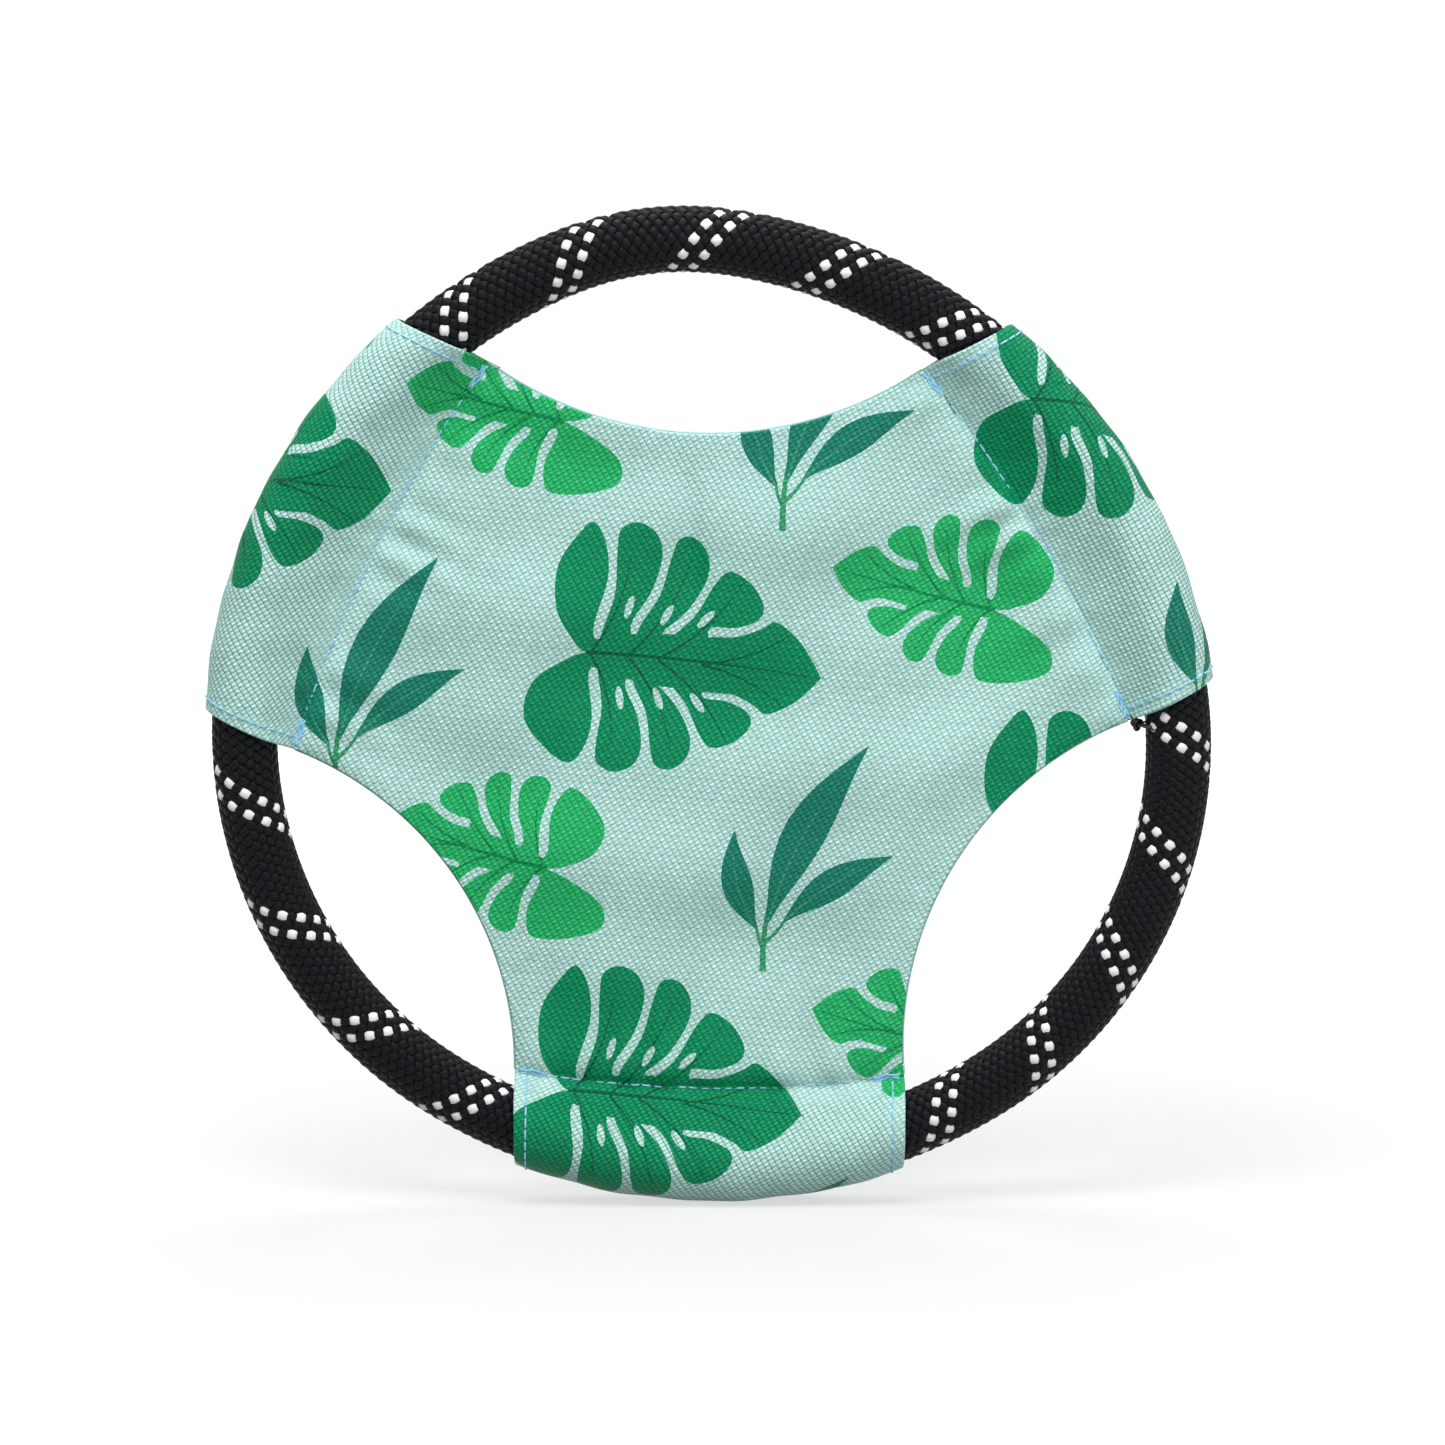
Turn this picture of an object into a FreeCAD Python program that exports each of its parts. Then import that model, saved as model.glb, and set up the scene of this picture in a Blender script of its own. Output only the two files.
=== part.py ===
"""Flying ring: a hoop of braided rope with a three-armed cloth panel sewn across it.

The ring stands upright. Its middle plane is XZ, with +X to the right and +Z up as seen from
the front, which faces -Y. The origin is the middle of the hoop. Lengths are millimetres and
angles are degrees from +X towards +Z.
"""
import FreeCAD
import Part
import Sketcher
import math
import os

Vector = FreeCAD.Vector
Rotation = FreeCAD.Rotation

# Driving sizes -----------------------------------------------------------------------------

SIZES = {
    # rope
    "rope_diameter": 14.5,
    "cover_wall": 1.6,
    "core_clearance": 0.05,
    # the hoop's size, on the rope's centreline
    "hoop_radius": 102.0,
    # its three exposed bows: direction of the crest, how far that lies outside the hoop's
    # radius, and how much tighter than the hoop the bow is bent
    "bow_right_angle": -31.0,
    "bow_right_bulge": 4.2,
    "bow_right_tightness": 13.0,
    "bow_top_angle": 98.0,
    "bow_top_bulge": 1.0,
    "bow_top_tightness": 34.0,
    "bow_left_angle": 212.0,
    "bow_left_bulge": 1.6,
    "bow_left_tightness": 10.0,
    # the flatter stretches under the sleeves, each tangent to the bows beside it, and how
    # much slacker than the hoop each is
    "stretch_right_slack": 14.0,
    "stretch_left_slack": 11.0,
    "stretch_bottom_slack": 12.0,
    # the cloth's three arms
    "arm_right_angle": 27.2,
    "arm_right_width": 89.0,
    "arm_left_angle": 154.8,
    "arm_left_width": 95.0,
    "arm_bottom_angle": 269.7,
    "arm_bottom_width": 86.0,
    # cloth
    "cloth_thickness": 0.8,
    "sleeve_clearance": 0.65,
    "corner_ease": 1.0,
    "seam_bow": 3.3,
    "seam_land": 1.2,
    "seam_gap": 0.1,
    "edge_top_dip": 15.6,
    "edge_left_dip": 14.3,
    "edge_right_dip": 16.5,
    # threads, and the gap under whatever is laid on a surface
    "thread_diameter": 0.5,
    "thread_inset": 1.2,
    "laid_gap": 0.05,
    "hem_inset": 2.4,
    "tack_length": 6.0,
    "tack_width": 1.6,
    "tack_height": 0.6,
    "knot_diameter": 3.2,
    # the joint of the rope's two ends
    "wrap_length": 24.0,
    "wrap_thickness": 0.2,
    "whipping_thread": 0.2,
    "whipping_pitch": 2.0,
}

ARMS = ("right", "left", "bottom")
BOWS = ("right", "top", "left")
# each arm's channel seam and the concave edge that follows it round the panel
OUTLINE_ORDER = (("right", "top"), ("left", "left"), ("bottom", "right"))
SLEEVE_STATIONS = 9
LOFT_OVERRUN = 0.5      # degrees by which a sleeve's tube passes its mouths before it is cut
OVERRUN_SHARE = 0.95    # most of the room between seam and rope that this overrun may use up
TACK_START = 0.5        # from a panel corner to the tack
TACK_SETBACK = 0.3      # from the channel seam to the tack
EDGE_SEAM_TRIM = 1.5    # from a panel corner to the edge seam's thread
KNOT_GAP = 0.25         # from the knot to the rope and to the sleeve's mouth
VOLUME_TOLERANCE = 0.002

doc = FreeCAD.newDocument("flying_ring")
sheet = doc.addObject("Spreadsheet::Sheet", "sizes")
for row, (alias, value) in enumerate(SIZES.items(), start=1):
    sheet.set("A%d" % row, alias)
    sheet.set("B%d" % row, "%g" % value)
    sheet.setAlias("B%d" % row, alias)
doc.recompute()


def size(alias):
    return float(sheet.get(alias))


# Plan geometry -----------------------------------------------------------------------------

def polar(radius, angle):
    """A point of the middle plane, at a distance and direction from the origin."""
    return Vector(radius * math.cos(math.radians(angle)), 0, radius * math.sin(math.radians(angle)))


def bearing(centre, point):
    """The direction in which a point lies, seen from a centre."""
    offset = point - centre
    return math.degrees(math.atan2(offset.z, offset.x))


def sweep(start, end):
    """The turn from one direction to another, counted anticlockwise."""
    return (end - start) % 360.0


class PlanArc:
    """An arc of the middle plane, drawn anticlockwise about its centre."""

    def __init__(self, centre, radius, first, last):
        self.centre = centre
        self.radius = radius
        self.start = bearing(centre, first)
        self.turn = sweep(self.start, bearing(centre, last))

    def point_at(self, direction):
        return self.centre + polar(self.radius, direction)

    def point(self, share):
        return self.point_at(self.start + share * self.turn)

    def edge(self):
        return Part.Arc(self.point(0), self.point(0.5), self.point(1))


def arc_by_sagitta(first, last, sagitta, outwards):
    """An arc through two points whose middle stands off their chord by the sagitta."""
    chord = last - first
    middle = (first + last) * 0.5
    away = Vector(middle)
    away = away - chord * (away.dot(chord) / chord.dot(chord))
    away.normalize()
    radius = (chord.Length ** 2 / 4 + sagitta ** 2) / (2 * sagitta)
    if outwards:
        return PlanArc(middle - away * (radius - sagitta), radius, first, last)
    return PlanArc(middle + away * (radius - sagitta), radius, last, first)


def hoop_stretch(bow_before, bow_after, radius):
    """Centre of the arc that is tangent to two bows and lies outside both."""
    centre_before, radius_before = bow_before
    centre_after, radius_after = bow_after
    reach_before = radius - radius_before
    reach_after = radius - radius_after
    line = centre_after - centre_before
    span = line.Length
    along = (reach_before ** 2 - reach_after ** 2 + span ** 2) / (2 * span)
    across = math.sqrt(reach_before ** 2 - along ** 2)
    unit = line * (1 / span)
    inwards = Vector(-unit.z, 0, unit.x)
    return centre_before + unit * along + inwards * across


def tangent_point(bow, centre):
    """Where a bow meets the stretch drawn about the given centre."""
    bow_centre, bow_radius = bow
    direction = bow_centre - centre
    direction.normalize()
    return bow_centre + direction * bow_radius


def hoop_arcs():
    """The rope's centreline: three flat stretches and three bows in turn, all tangent."""
    bows = {}
    for name in BOWS:
        reach = size("hoop_radius") + size("bow_%s_bulge" % name)
        radius = size("hoop_radius") - size("bow_%s_tightness" % name)
        bows[name] = (polar(reach - radius, size("bow_%s_angle" % name)), radius)
    stretches = {}
    for before, after, arm in (("right", "top", "right"), ("top", "left", "left"),
                               ("left", "right", "bottom")):
        radius = size("hoop_radius") + size("stretch_%s_slack" % arm)
        centre = hoop_stretch(bows[before], bows[after], radius)
        first = tangent_point(bows[before], centre)
        last = tangent_point(bows[after], centre)
        stretches[arm] = PlanArc(centre, radius, first, last)
    exposed = {}
    for name, before, after in (("top", "right", "left"), ("left", "left", "bottom"),
                                ("right", "bottom", "right")):
        centre, radius = bows[name]
        exposed[name] = PlanArc(centre, radius, stretches[before].point(1), stretches[after].point(0))
    return stretches, exposed


def centre_hoop(stretches, exposed):
    """Moves all the arcs so that the middle of the hoop is the origin."""
    arcs = list(stretches.values()) + list(exposed.values())
    box = Part.Compound([arc.edge().toShape() for arc in arcs]).optimalBoundingBox()
    middle = Vector(box.Center.x, 0, box.Center.z)
    for arc in arcs:
        arc.centre = arc.centre - middle


rope_radius = size("rope_diameter") / 2
sleeve_inside = rope_radius + size("sleeve_clearance")
sleeve_outside = sleeve_inside + size("cloth_thickness")
stretches, exposed = hoop_arcs()
centre_hoop(stretches, exposed)


class Arm:
    """Where one arm of the cloth meets the rope."""

    def __init__(self, name):
        self.angle = size("arm_%s_angle" % name)
        self.width = size("arm_%s_width" % name)
        self.along = polar(1, self.angle)
        self.across = polar(1, self.angle + 90)
        self.rope = stretches[name]
        self.start_corner = self.corner(-self.width / 2)
        self.end_corner = self.corner(self.width / 2)
        self.seam = arc_by_sagitta(self.start_corner, self.end_corner, size("seam_bow"), True)

    def corner(self, offset):
        """Inner corner of a sleeve mouth: just inside the rope, on the arm's straight side."""
        radius = self.rope.radius - sleeve_outside - size("corner_ease")
        aside = offset - self.rope.centre.dot(self.across)
        reach = self.rope.centre.dot(self.along) + math.sqrt(radius ** 2 - aside ** 2)
        return self.along * reach + self.across * offset

    def seam_depth(self, direction):
        """From the rope's centreline to the channel seam, measured towards the arc's centre."""
        ray = polar(1, direction)
        to_centre = self.rope.centre - self.seam.centre
        half = to_centre.dot(ray)
        root = math.sqrt(half ** 2 - to_centre.dot(to_centre) + self.seam.radius ** 2)
        return self.rope.radius - (root - half)


arms = {name: Arm(name) for name in ARMS}
edges = {}
for (arm_name, edge_name), (next_arm, _) in zip(OUTLINE_ORDER, OUTLINE_ORDER[1:] + OUTLINE_ORDER[:1]):
    edges[edge_name] = arc_by_sagitta(arms[arm_name].end_corner, arms[next_arm].start_corner,
                                      size("edge_%s_dip" % edge_name), False)


# Helpers for document objects --------------------------------------------------------------

def origin_plane(body, role):
    for feature in body.Origin.OriginFeatures:
        if feature.Role == role:
            return feature
    raise ValueError(role)


def new_sketch(body, name, role, offset=0.0):
    sketch = body.newObject("Sketcher::SketchObject", name)
    sketch.AttachmentSupport = [(origin_plane(body, role), "")]
    sketch.MapMode = "FlatFace"
    sketch.AttachmentOffset = FreeCAD.Placement(Vector(0, 0, offset), Rotation())
    return sketch


def flat_arc(arc):
    """An arc of the middle plane in the coordinates of a sketch that lies on it."""
    points = [arc.point(share) for share in (0, 0.5, 1)]
    return Part.Arc(*[Vector(point.x, point.z, 0) for point in points])


def add_outline(sketch, arcs):
    for arc in arcs:
        sketch.addGeometry(flat_arc(arc), False)


def upright(centre, spin):
    """Placement that turns a primitive's own Z axis to -Y and starts it at a direction."""
    return FreeCAD.Placement(centre, Rotation(Vector(1, 0, 0), 90) * Rotation(Vector(0, 0, 1), spin))


def thread_arc(name, arc, inset, depth, trim):
    """A round thread laid along an arc, in front of or behind the middle plane."""
    trim_angle = math.degrees(trim / arc.radius)
    torus = doc.addObject("Part::Torus", name)
    torus.Radius1 = arc.radius - inset
    torus.setExpression("Radius2", "sizes.thread_diameter / 2")
    torus.Angle3 = arc.turn - 2 * trim_angle
    torus.Placement = upright(arc.centre + Vector(0, depth, 0), arc.start + trim_angle)
    return torus


def group(label, members):
    compound = doc.addObject("Part::Compound", label)
    compound.Links = members
    compound.Label = label
    return compound


def feature(label, shape):
    holder = doc.addObject("Part::Feature", label)
    holder.Shape = shape
    holder.Label = label
    return holder


pieces = []

# Rope: filler core and braided cover --------------------------------------------------------

# the path starts and ends at the hoop's lowest point, where the rope runs straight along X
bottom = stretches["bottom"]
lowest = bottom.centre + polar(bottom.radius, -90)
rope_path = [PlanArc(bottom.centre, bottom.radius, lowest, bottom.point(1)), exposed["right"],
             stretches["right"], exposed["top"], stretches["left"], exposed["left"],
             PlanArc(bottom.centre, bottom.radius, bottom.point(0), lowest)]


def rope_pipe(body, kind, name, radius_expression):
    """One round pipe, added or cut, along the whole hoop."""
    path = new_sketch(body, name + "_path", "XZ_Plane")
    add_outline(path, rope_path)
    section = new_sketch(body, name + "_section", "YZ_Plane", lowest.x)
    section.addGeometry(Part.Circle(Vector(0, lowest.z, 0), Vector(0, 0, 1), rope_radius), False)
    radius = section.addConstraint(Sketcher.Constraint("Radius", 0, rope_radius))
    section.setExpression("Constraints[%d]" % radius, radius_expression)
    pipe = body.newObject(kind, name)
    pipe.Profile = section
    pipe.Spine = path


cover = doc.addObject("PartDesign::Body", "rope_cover")
rope_pipe(cover, "PartDesign::AdditivePipe", "cover_outside", "sizes.rope_diameter / 2")
rope_pipe(cover, "PartDesign::SubtractivePipe", "cover_inside",
          "sizes.rope_diameter / 2 - sizes.cover_wall")
core = doc.addObject("PartDesign::Body", "rope_core")
rope_pipe(core, "PartDesign::AdditivePipe", "core_filler",
          "sizes.rope_diameter / 2 - sizes.cover_wall - sizes.core_clearance")
pieces += [core, cover]

# Joint of the rope's two ends: tape and whipping, inside the right sleeve --------------------

joint = stretches["right"]
joint_angle = size("arm_right_angle")
wrap_turn = math.degrees(size("wrap_length") / joint.radius)
wrap_tubes = []
wrap_inside = "sizes.rope_diameter / 2 + sizes.laid_gap"
for name, radius_expression in (("wrap_outside", wrap_inside + " + sizes.wrap_thickness"),
                                ("wrap_inside", wrap_inside)):
    tube = doc.addObject("Part::Torus", name)
    tube.Radius1 = joint.radius
    tube.setExpression("Radius2", radius_expression)
    tube.Angle3 = wrap_turn
    tube.Placement = upright(joint.centre, joint_angle - wrap_turn / 2)
    wrap_tubes.append(tube)
wrap = doc.addObject("Part::Cut", "rope_join_wrap")
wrap.Base, wrap.Tool = wrap_tubes
pieces.append(wrap)

turns = int(size("wrap_length") / size("whipping_pitch")) - 1
whipping = []
for index in range(turns):
    offset = (index - (turns - 1) / 2) * size("whipping_pitch")
    direction = joint_angle + math.degrees(offset / joint.radius)
    ring = doc.addObject("Part::Torus", "whipping_turn_%d" % index)
    ring.setExpression("Radius1", "(sizes.rope_diameter + sizes.whipping_thread) / 2"
                       " + sizes.wrap_thickness + 2 * sizes.laid_gap")
    ring.setExpression("Radius2", "sizes.whipping_thread / 2")
    along_rope = Rotation(Vector(0, 0, 1), polar(1, direction + 90))
    ring.Placement = FreeCAD.Placement(joint.centre + polar(joint.radius, direction), along_rope)
    whipping.append(ring)
pieces.append(group("rope_join_whipping", whipping))

# Panel: two layers of cloth that meet in the middle plane ------------------------------------

outline = []
for arm_name, edge_name in OUTLINE_ORDER:
    outline += [arms[arm_name].seam, edges[edge_name]]
for label, backwards in (("front_panel", False), ("back_panel", True)):
    body = doc.addObject("PartDesign::Body", label)
    sketch = new_sketch(body, label + "_outline", "XZ_Plane")
    add_outline(sketch, outline)
    layer = body.newObject("PartDesign::Pad", label + "_cloth")
    layer.Profile = sketch
    layer.setExpression("Length", "sizes.cloth_thickness")
    layer.Reversed = backwards
    pieces.append(body)

# Sleeves: the arm ends, wrapped round the rope and stitched to themselves at the channel seam


def teardrop(arm, direction, radius, depth, half_end):
    """Section of a sleeve: round the rope, then straight to the channel seam."""
    centre = arm.rope.point_at(direction)
    outwards = polar(1, direction)

    def place(out, back):
        return centre + outwards * out + Vector(0, back, 0)

    tip = math.atan2(half_end, depth) + math.acos(radius / math.hypot(depth, half_end))
    out = -radius * math.cos(tip)
    back = radius * math.sin(tip)
    corners = [place(out, -back), place(-depth, -half_end)]
    if half_end:
        corners.append(place(-depth, half_end))
    corners.append(place(out, back))
    sides = [Part.makeLine(first, last) for first, last in zip(corners, corners[1:])]
    round_side = Part.Arc(corners[-1], place(radius, 0), corners[0]).toShape()
    return Part.Wire([round_side] + sides)


def teardrop_tube(arm, radius, end_gap, half_end):
    """Closed tube of the sleeve's section, from just past one mouth to just past the other."""
    mouth = bearing(arm.rope.centre, arm.start_corner)
    # the seam nears the rope past a mouth, faster on a wide arm, so the waste there may be shorter
    spare = arm.seam_depth(mouth) - end_gap - radius
    used = arm.seam_depth(mouth) - arm.seam_depth(mouth - LOFT_OVERRUN)
    overrun = LOFT_OVERRUN * min(1, OVERRUN_SHARE * spare / used)
    first = mouth - overrun
    turn = sweep(first, bearing(arm.rope.centre, arm.end_corner) + overrun)
    sections = []
    for station in range(SLEEVE_STATIONS):
        direction = first + turn * station / (SLEEVE_STATIONS - 1)
        depth = arm.seam_depth(direction) - end_gap
        sections.append(teardrop(arm, direction, radius, depth, half_end))
    return Part.makeLoft(sections, True, False)


def slab(arm, low, high):
    """Everything between two planes along the arm, given by their distance from its middle."""
    reach = 2 * arm.rope.radius
    box = Part.makeBox(reach, reach, high - low, Vector(0, -reach / 2, low))
    box.rotate(Vector(0, 0, 0), Vector(0, -1, 0), arm.angle)
    return box


cloth = size("cloth_thickness")
thread = size("thread_diameter")
laid_gap = size("laid_gap")
for name, arm in arms.items():
    half_width = arm.width / 2
    outside = teardrop_tube(arm, sleeve_outside, size("seam_gap"), cloth)
    inside = teardrop_tube(arm, sleeve_inside, size("seam_land"), 0)
    sleeve = outside.cut(inside).common(slab(arm, -half_width, half_width))
    pieces.append(feature("sleeve_" + name, sleeve))

    # topstitching round the two mouths, one loop of thread in each hem
    under = teardrop_tube(arm, sleeve_outside + laid_gap, size("seam_gap"), cloth + laid_gap)
    proud = teardrop_tube(arm, sleeve_outside + laid_gap + thread, size("seam_gap"),
                          cloth + laid_gap + thread)
    stitched = proud.cut(under)
    near = half_width - size("hem_inset") - thread / 2
    for side, low in (("start", -near - thread), ("end", near)):
        loop = stitched.common(slab(arm, low, low + thread))
        pieces.append(feature("hem_stitching_%s_%s" % (name, side), loop))

    # channel seam: one thread on the front of the cloth and one on the back, between the tacks
    lines = []
    seam_trim = size("tack_length") + TACK_START + thread
    for face, depth in (("front", -cloth - laid_gap - thread / 2),
                        ("back", cloth + laid_gap + thread / 2)):
        lines.append(thread_arc("channel_thread_%s_%s" % (name, face), arm.seam,
                                size("thread_inset"), depth, seam_trim))
    pieces.append(group("channel_stitching_" + name, lines))

    # dense back-tacks at the seam's two ends, through both layers
    tack_angle = math.degrees((size("tack_length") / 2 + TACK_START) / arm.seam.radius)
    for side, direction in (("start", arm.seam.start + tack_angle),
                            ("end", arm.seam.start + arm.seam.turn - tack_angle)):
        tangent = polar(1, direction + 90)
        inwards = polar(-1, direction)
        middle = arm.seam.point_at(direction) + inwards * TACK_SETBACK
        pads = []
        for face, depth in (("front", -cloth - laid_gap - size("tack_height")),
                            ("back", cloth + laid_gap)):
            pad = doc.addObject("Part::Box", "tack_%s_%s_%s" % (name, side, face))
            pad.setExpression("Length", "sizes.tack_length")
            pad.setExpression("Width", "sizes.tack_height")
            pad.setExpression("Height", "sizes.tack_width")
            corner = middle - tangent * (size("tack_length") / 2) + Vector(0, depth, 0)
            pad.Placement = FreeCAD.Placement(corner, Rotation(Vector(0, -1, 0), direction + 90))
            pads.append(pad)
        pieces.append(group("corner_tack_%s_%s" % (name, side), pads))

# Seams of the panel's concave edges: the thread lies in the fold between the two layers ------

for name, edge in edges.items():
    seam = thread_arc("edge_seam_" + name, edge, laid_gap + thread / 2, 0, EDGE_SEAM_TRIM)
    pieces.append(seam)

# Knot that ties the right sleeve to the rope, at the sleeve's lower mouth --------------------

arm = arms["right"]
knot_radius = size("knot_diameter") / 2
outside_mouth = arm.start_corner - arm.across * (knot_radius + KNOT_GAP)
knot_reach = arm.rope.radius - rope_radius - knot_radius - KNOT_GAP
knot = doc.addObject("Part::Sphere", "rope_tack")
knot.setExpression("Radius", "sizes.knot_diameter / 2")
knot.Placement.Base = arm.rope.centre + polar(knot_reach, bearing(arm.rope.centre, outside_mouth))
pieces.append(knot)

# Checks and files --------------------------------------------------------------------------

doc.recompute()
for item in doc.Objects:
    if "Invalid" in item.State or "Error" in item.State:
        raise RuntimeError("%s failed: %s" % (item.Name, item.State))
for piece in pieces:
    if piece.Shape.isNull() or not piece.Shape.isValid() or not piece.Shape.Solids:
        raise RuntimeError("%s has no valid solid" % piece.Label)
hoop_length = sum(math.radians(arc.turn) * arc.radius for arc in rope_path)
cover_section = math.pi * (rope_radius ** 2 - (rope_radius - size("cover_wall")) ** 2)
if abs(cover.Shape.Volume / (cover_section * hoop_length) - 1) > VOLUME_TOLERANCE:
    raise RuntimeError("rope_cover isn't hollow along its whole length")

os.makedirs("parts", exist_ok=True)
for piece in pieces:
    piece.Shape.exportStep("parts/%s.step" % piece.Label)
    print("%-26s %2d solids %10.1f mm3" % (piece.Label, len(piece.Shape.Solids), piece.Shape.Volume))
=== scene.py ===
"""Flying ring: a braided rope hoop with a printed three-armed cloth panel sewn round it.

The ring stands upright and faces -Y, with +X to the right and +Z up, as in the CAD model.
Lengths below are millimetres; add_mesh turns them to metres.
"""
import math
import bpy
import numpy as np
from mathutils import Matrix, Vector
from mathutils.bvhtree import BVHTree
from mathutils.geometry import delaunay_2d_cdt


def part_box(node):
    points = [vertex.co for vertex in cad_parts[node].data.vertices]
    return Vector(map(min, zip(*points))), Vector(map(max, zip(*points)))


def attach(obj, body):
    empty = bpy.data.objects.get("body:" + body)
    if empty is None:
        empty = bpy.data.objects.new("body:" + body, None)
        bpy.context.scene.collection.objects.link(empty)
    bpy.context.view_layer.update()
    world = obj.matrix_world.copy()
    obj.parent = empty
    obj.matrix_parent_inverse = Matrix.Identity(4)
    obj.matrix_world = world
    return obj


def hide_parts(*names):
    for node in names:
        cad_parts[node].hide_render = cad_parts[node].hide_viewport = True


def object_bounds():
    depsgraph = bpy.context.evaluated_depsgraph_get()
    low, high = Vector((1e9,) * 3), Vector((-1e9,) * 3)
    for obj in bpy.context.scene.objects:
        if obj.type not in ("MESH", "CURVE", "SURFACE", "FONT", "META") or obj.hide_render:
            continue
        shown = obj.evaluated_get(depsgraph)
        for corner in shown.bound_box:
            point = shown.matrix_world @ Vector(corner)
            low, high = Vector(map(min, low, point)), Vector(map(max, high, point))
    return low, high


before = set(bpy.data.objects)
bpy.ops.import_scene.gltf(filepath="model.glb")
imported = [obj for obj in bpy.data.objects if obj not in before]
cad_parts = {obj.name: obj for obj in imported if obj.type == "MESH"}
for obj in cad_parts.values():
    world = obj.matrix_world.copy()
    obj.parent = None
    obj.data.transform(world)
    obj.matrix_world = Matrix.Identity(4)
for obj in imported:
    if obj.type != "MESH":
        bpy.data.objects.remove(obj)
cad_low, cad_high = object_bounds()
MM = 0.001
TURN = 2 * math.pi

# --- Rope core -----------------------------------------------------------------------------
# The filler of the hoop's cord: straight, slack polyester yarns that run inside the braid.
# It is hidden by the braid and keeps the shape that the frame gives it.


def linear(hex_colour):
    """An sRGB hex colour as linear red, green, blue and alpha."""
    shares = [int(hex_colour[i:i + 2], 16) / 255 for i in (1, 3, 5)]
    curved = [s / 12.92 if s <= 0.04045 else ((s + 0.055) / 1.055) ** 2.4 for s in shares]
    return (*curved, 1.0)


def new_material(name):
    material = bpy.data.materials.new(name)
    material.use_nodes = True
    material.node_tree.nodes.clear()
    return material


def add(material, kind, inputs, **settings):
    """Adds one shader node. Each input is a value, or the node or socket that is linked to it."""
    made = material.node_tree.nodes.new(kind)
    for name, value in settings.items():
        setattr(made, name, value)
    for name, value in inputs.items():
        if isinstance(value, bpy.types.Node):
            value = value.outputs[0]
        if isinstance(value, bpy.types.NodeSocket):
            material.node_tree.links.new(value, made.inputs[name])
        else:
            made.inputs[name].default_value = value
    return made


def set_material(node, material):
    """Gives a CAD node its finish."""
    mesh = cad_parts[node].data
    mesh.materials.clear()
    mesh.materials.append(material)


# slack polyester filler: dull, with long fine streaks where the yarns lie side by side
filler = new_material("slack_polyester_filler")
place = add(filler, "ShaderNodeTexCoord", {})
streak = add(filler, "ShaderNodeTexNoise", {"Vector": place.outputs["Object"], "Scale": 900.0})
shade = add(filler, "ShaderNodeMix", {"Factor": streak, 6: linear("#3b3d40"), 7: linear("#56585c")},
            data_type="RGBA")
ridges = add(filler, "ShaderNodeBump", {"Height": streak, "Distance": 0.0003, "Strength": 0.6})
skin = add(filler, "ShaderNodeBsdfPrincipled",
           {"Base Color": shade.outputs[2], "Roughness": 0.85, "Normal": ridges})
add(filler, "ShaderNodeOutputMaterial", {"Surface": skin})
set_material("rope_core", filler)

# --- Braided rope cover ----------------------------------------------------------------------
# Twenty-four flat strands of black polyester, twelve turning each way, each passing over one
# and under one. Two neighbouring strands are white tracers. Strands are modelled where the rope
# is bare and a little way into the sleeves; a plain tube carries the cover on underneath.

RAYS = 3600
STRANDS_EACH_WAY = 12
CROSSINGS = 2 * STRANDS_EACH_WAY
STEPS_PER_CROSSING = 4
STRAND_HALF_WIDTH = 1.07
STRAND_HALF_THICKNESS = 0.40
STRAND_RISE = 0.44
STRAND_SIDES = 8
TRACERS = (0, STRANDS_EACH_WAY - 2)
BRAID_INTO_SLEEVE = 6.0
COVER_UNDER_BRAID = 5.95
COVER_UNDER_SLEEVE = 7.1
# how many turns a strand has made at each direction of the hoop, in degrees from +X
BRAID_TURNS = ((56.55, 0), (122.15, 4), (190.3, 8), (236.7, 11), (298.3, 15), (355.3, 19), (416.55, 23))
# each arm of the cloth: the direction in which it points, in degrees, and its width
ARMS = {"right": (27.2, 89.0), "left": (154.8, 95.0), "bottom": (269.7, 86.0)}
ARM_ORDER = ("right", "left", "bottom")

directions = np.arange(RAYS) * TURN / RAYS


def wall_distance(node, depth, inwards=False):
    """How far from the middle of the ring the node's wall is, in every direction."""
    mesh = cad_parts[node].data
    corners = [v.co for v in mesh.vertices]
    tree = BVHTree.FromPolygons(corners, [p.vertices for p in mesh.polygons])
    far = 0.3
    found = []
    for angle in directions:
        ray = Vector((math.cos(angle), 0, math.sin(angle)))
        start = Vector((0, depth * MM, 0)) + (ray * far if inwards else Vector())
        hit = tree.ray_cast(start, -ray if inwards else ray)[3]
        found.append((far - hit if inwards else hit) / MM)
    return np.array(found)


def smoothed(values, harmonics):
    """A closed curve's distances without the flats of the frame's facets."""
    waves = np.fft.rfft(values)
    waves[harmonics:] = 0
    return np.fft.irfft(waves, len(values))


hoop_reach = smoothed((wall_distance("rope_cover", 0.02) + wall_distance("rope_cover", 0.02, True)) / 2, 30)
rope_radius = (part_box("rope_cover")[1].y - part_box("rope_cover")[0].y) / 2 / MM


def hoop_point(angle):
    """Centreline point and outward direction of the rope, for directions in radians."""
    def point(a):
        reach = np.interp(np.mod(a, TURN), np.append(directions, TURN), np.append(hoop_reach, hoop_reach[0]))
        return np.stack([reach * np.cos(a), np.zeros_like(a), reach * np.sin(a)], -1)
    ahead = point(angle + 0.01) - point(angle - 0.01)
    out = np.stack([ahead[..., 2], np.zeros_like(angle), -ahead[..., 0]], -1)
    return point(angle), out / np.linalg.norm(out, axis=-1, keepdims=True)


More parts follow.
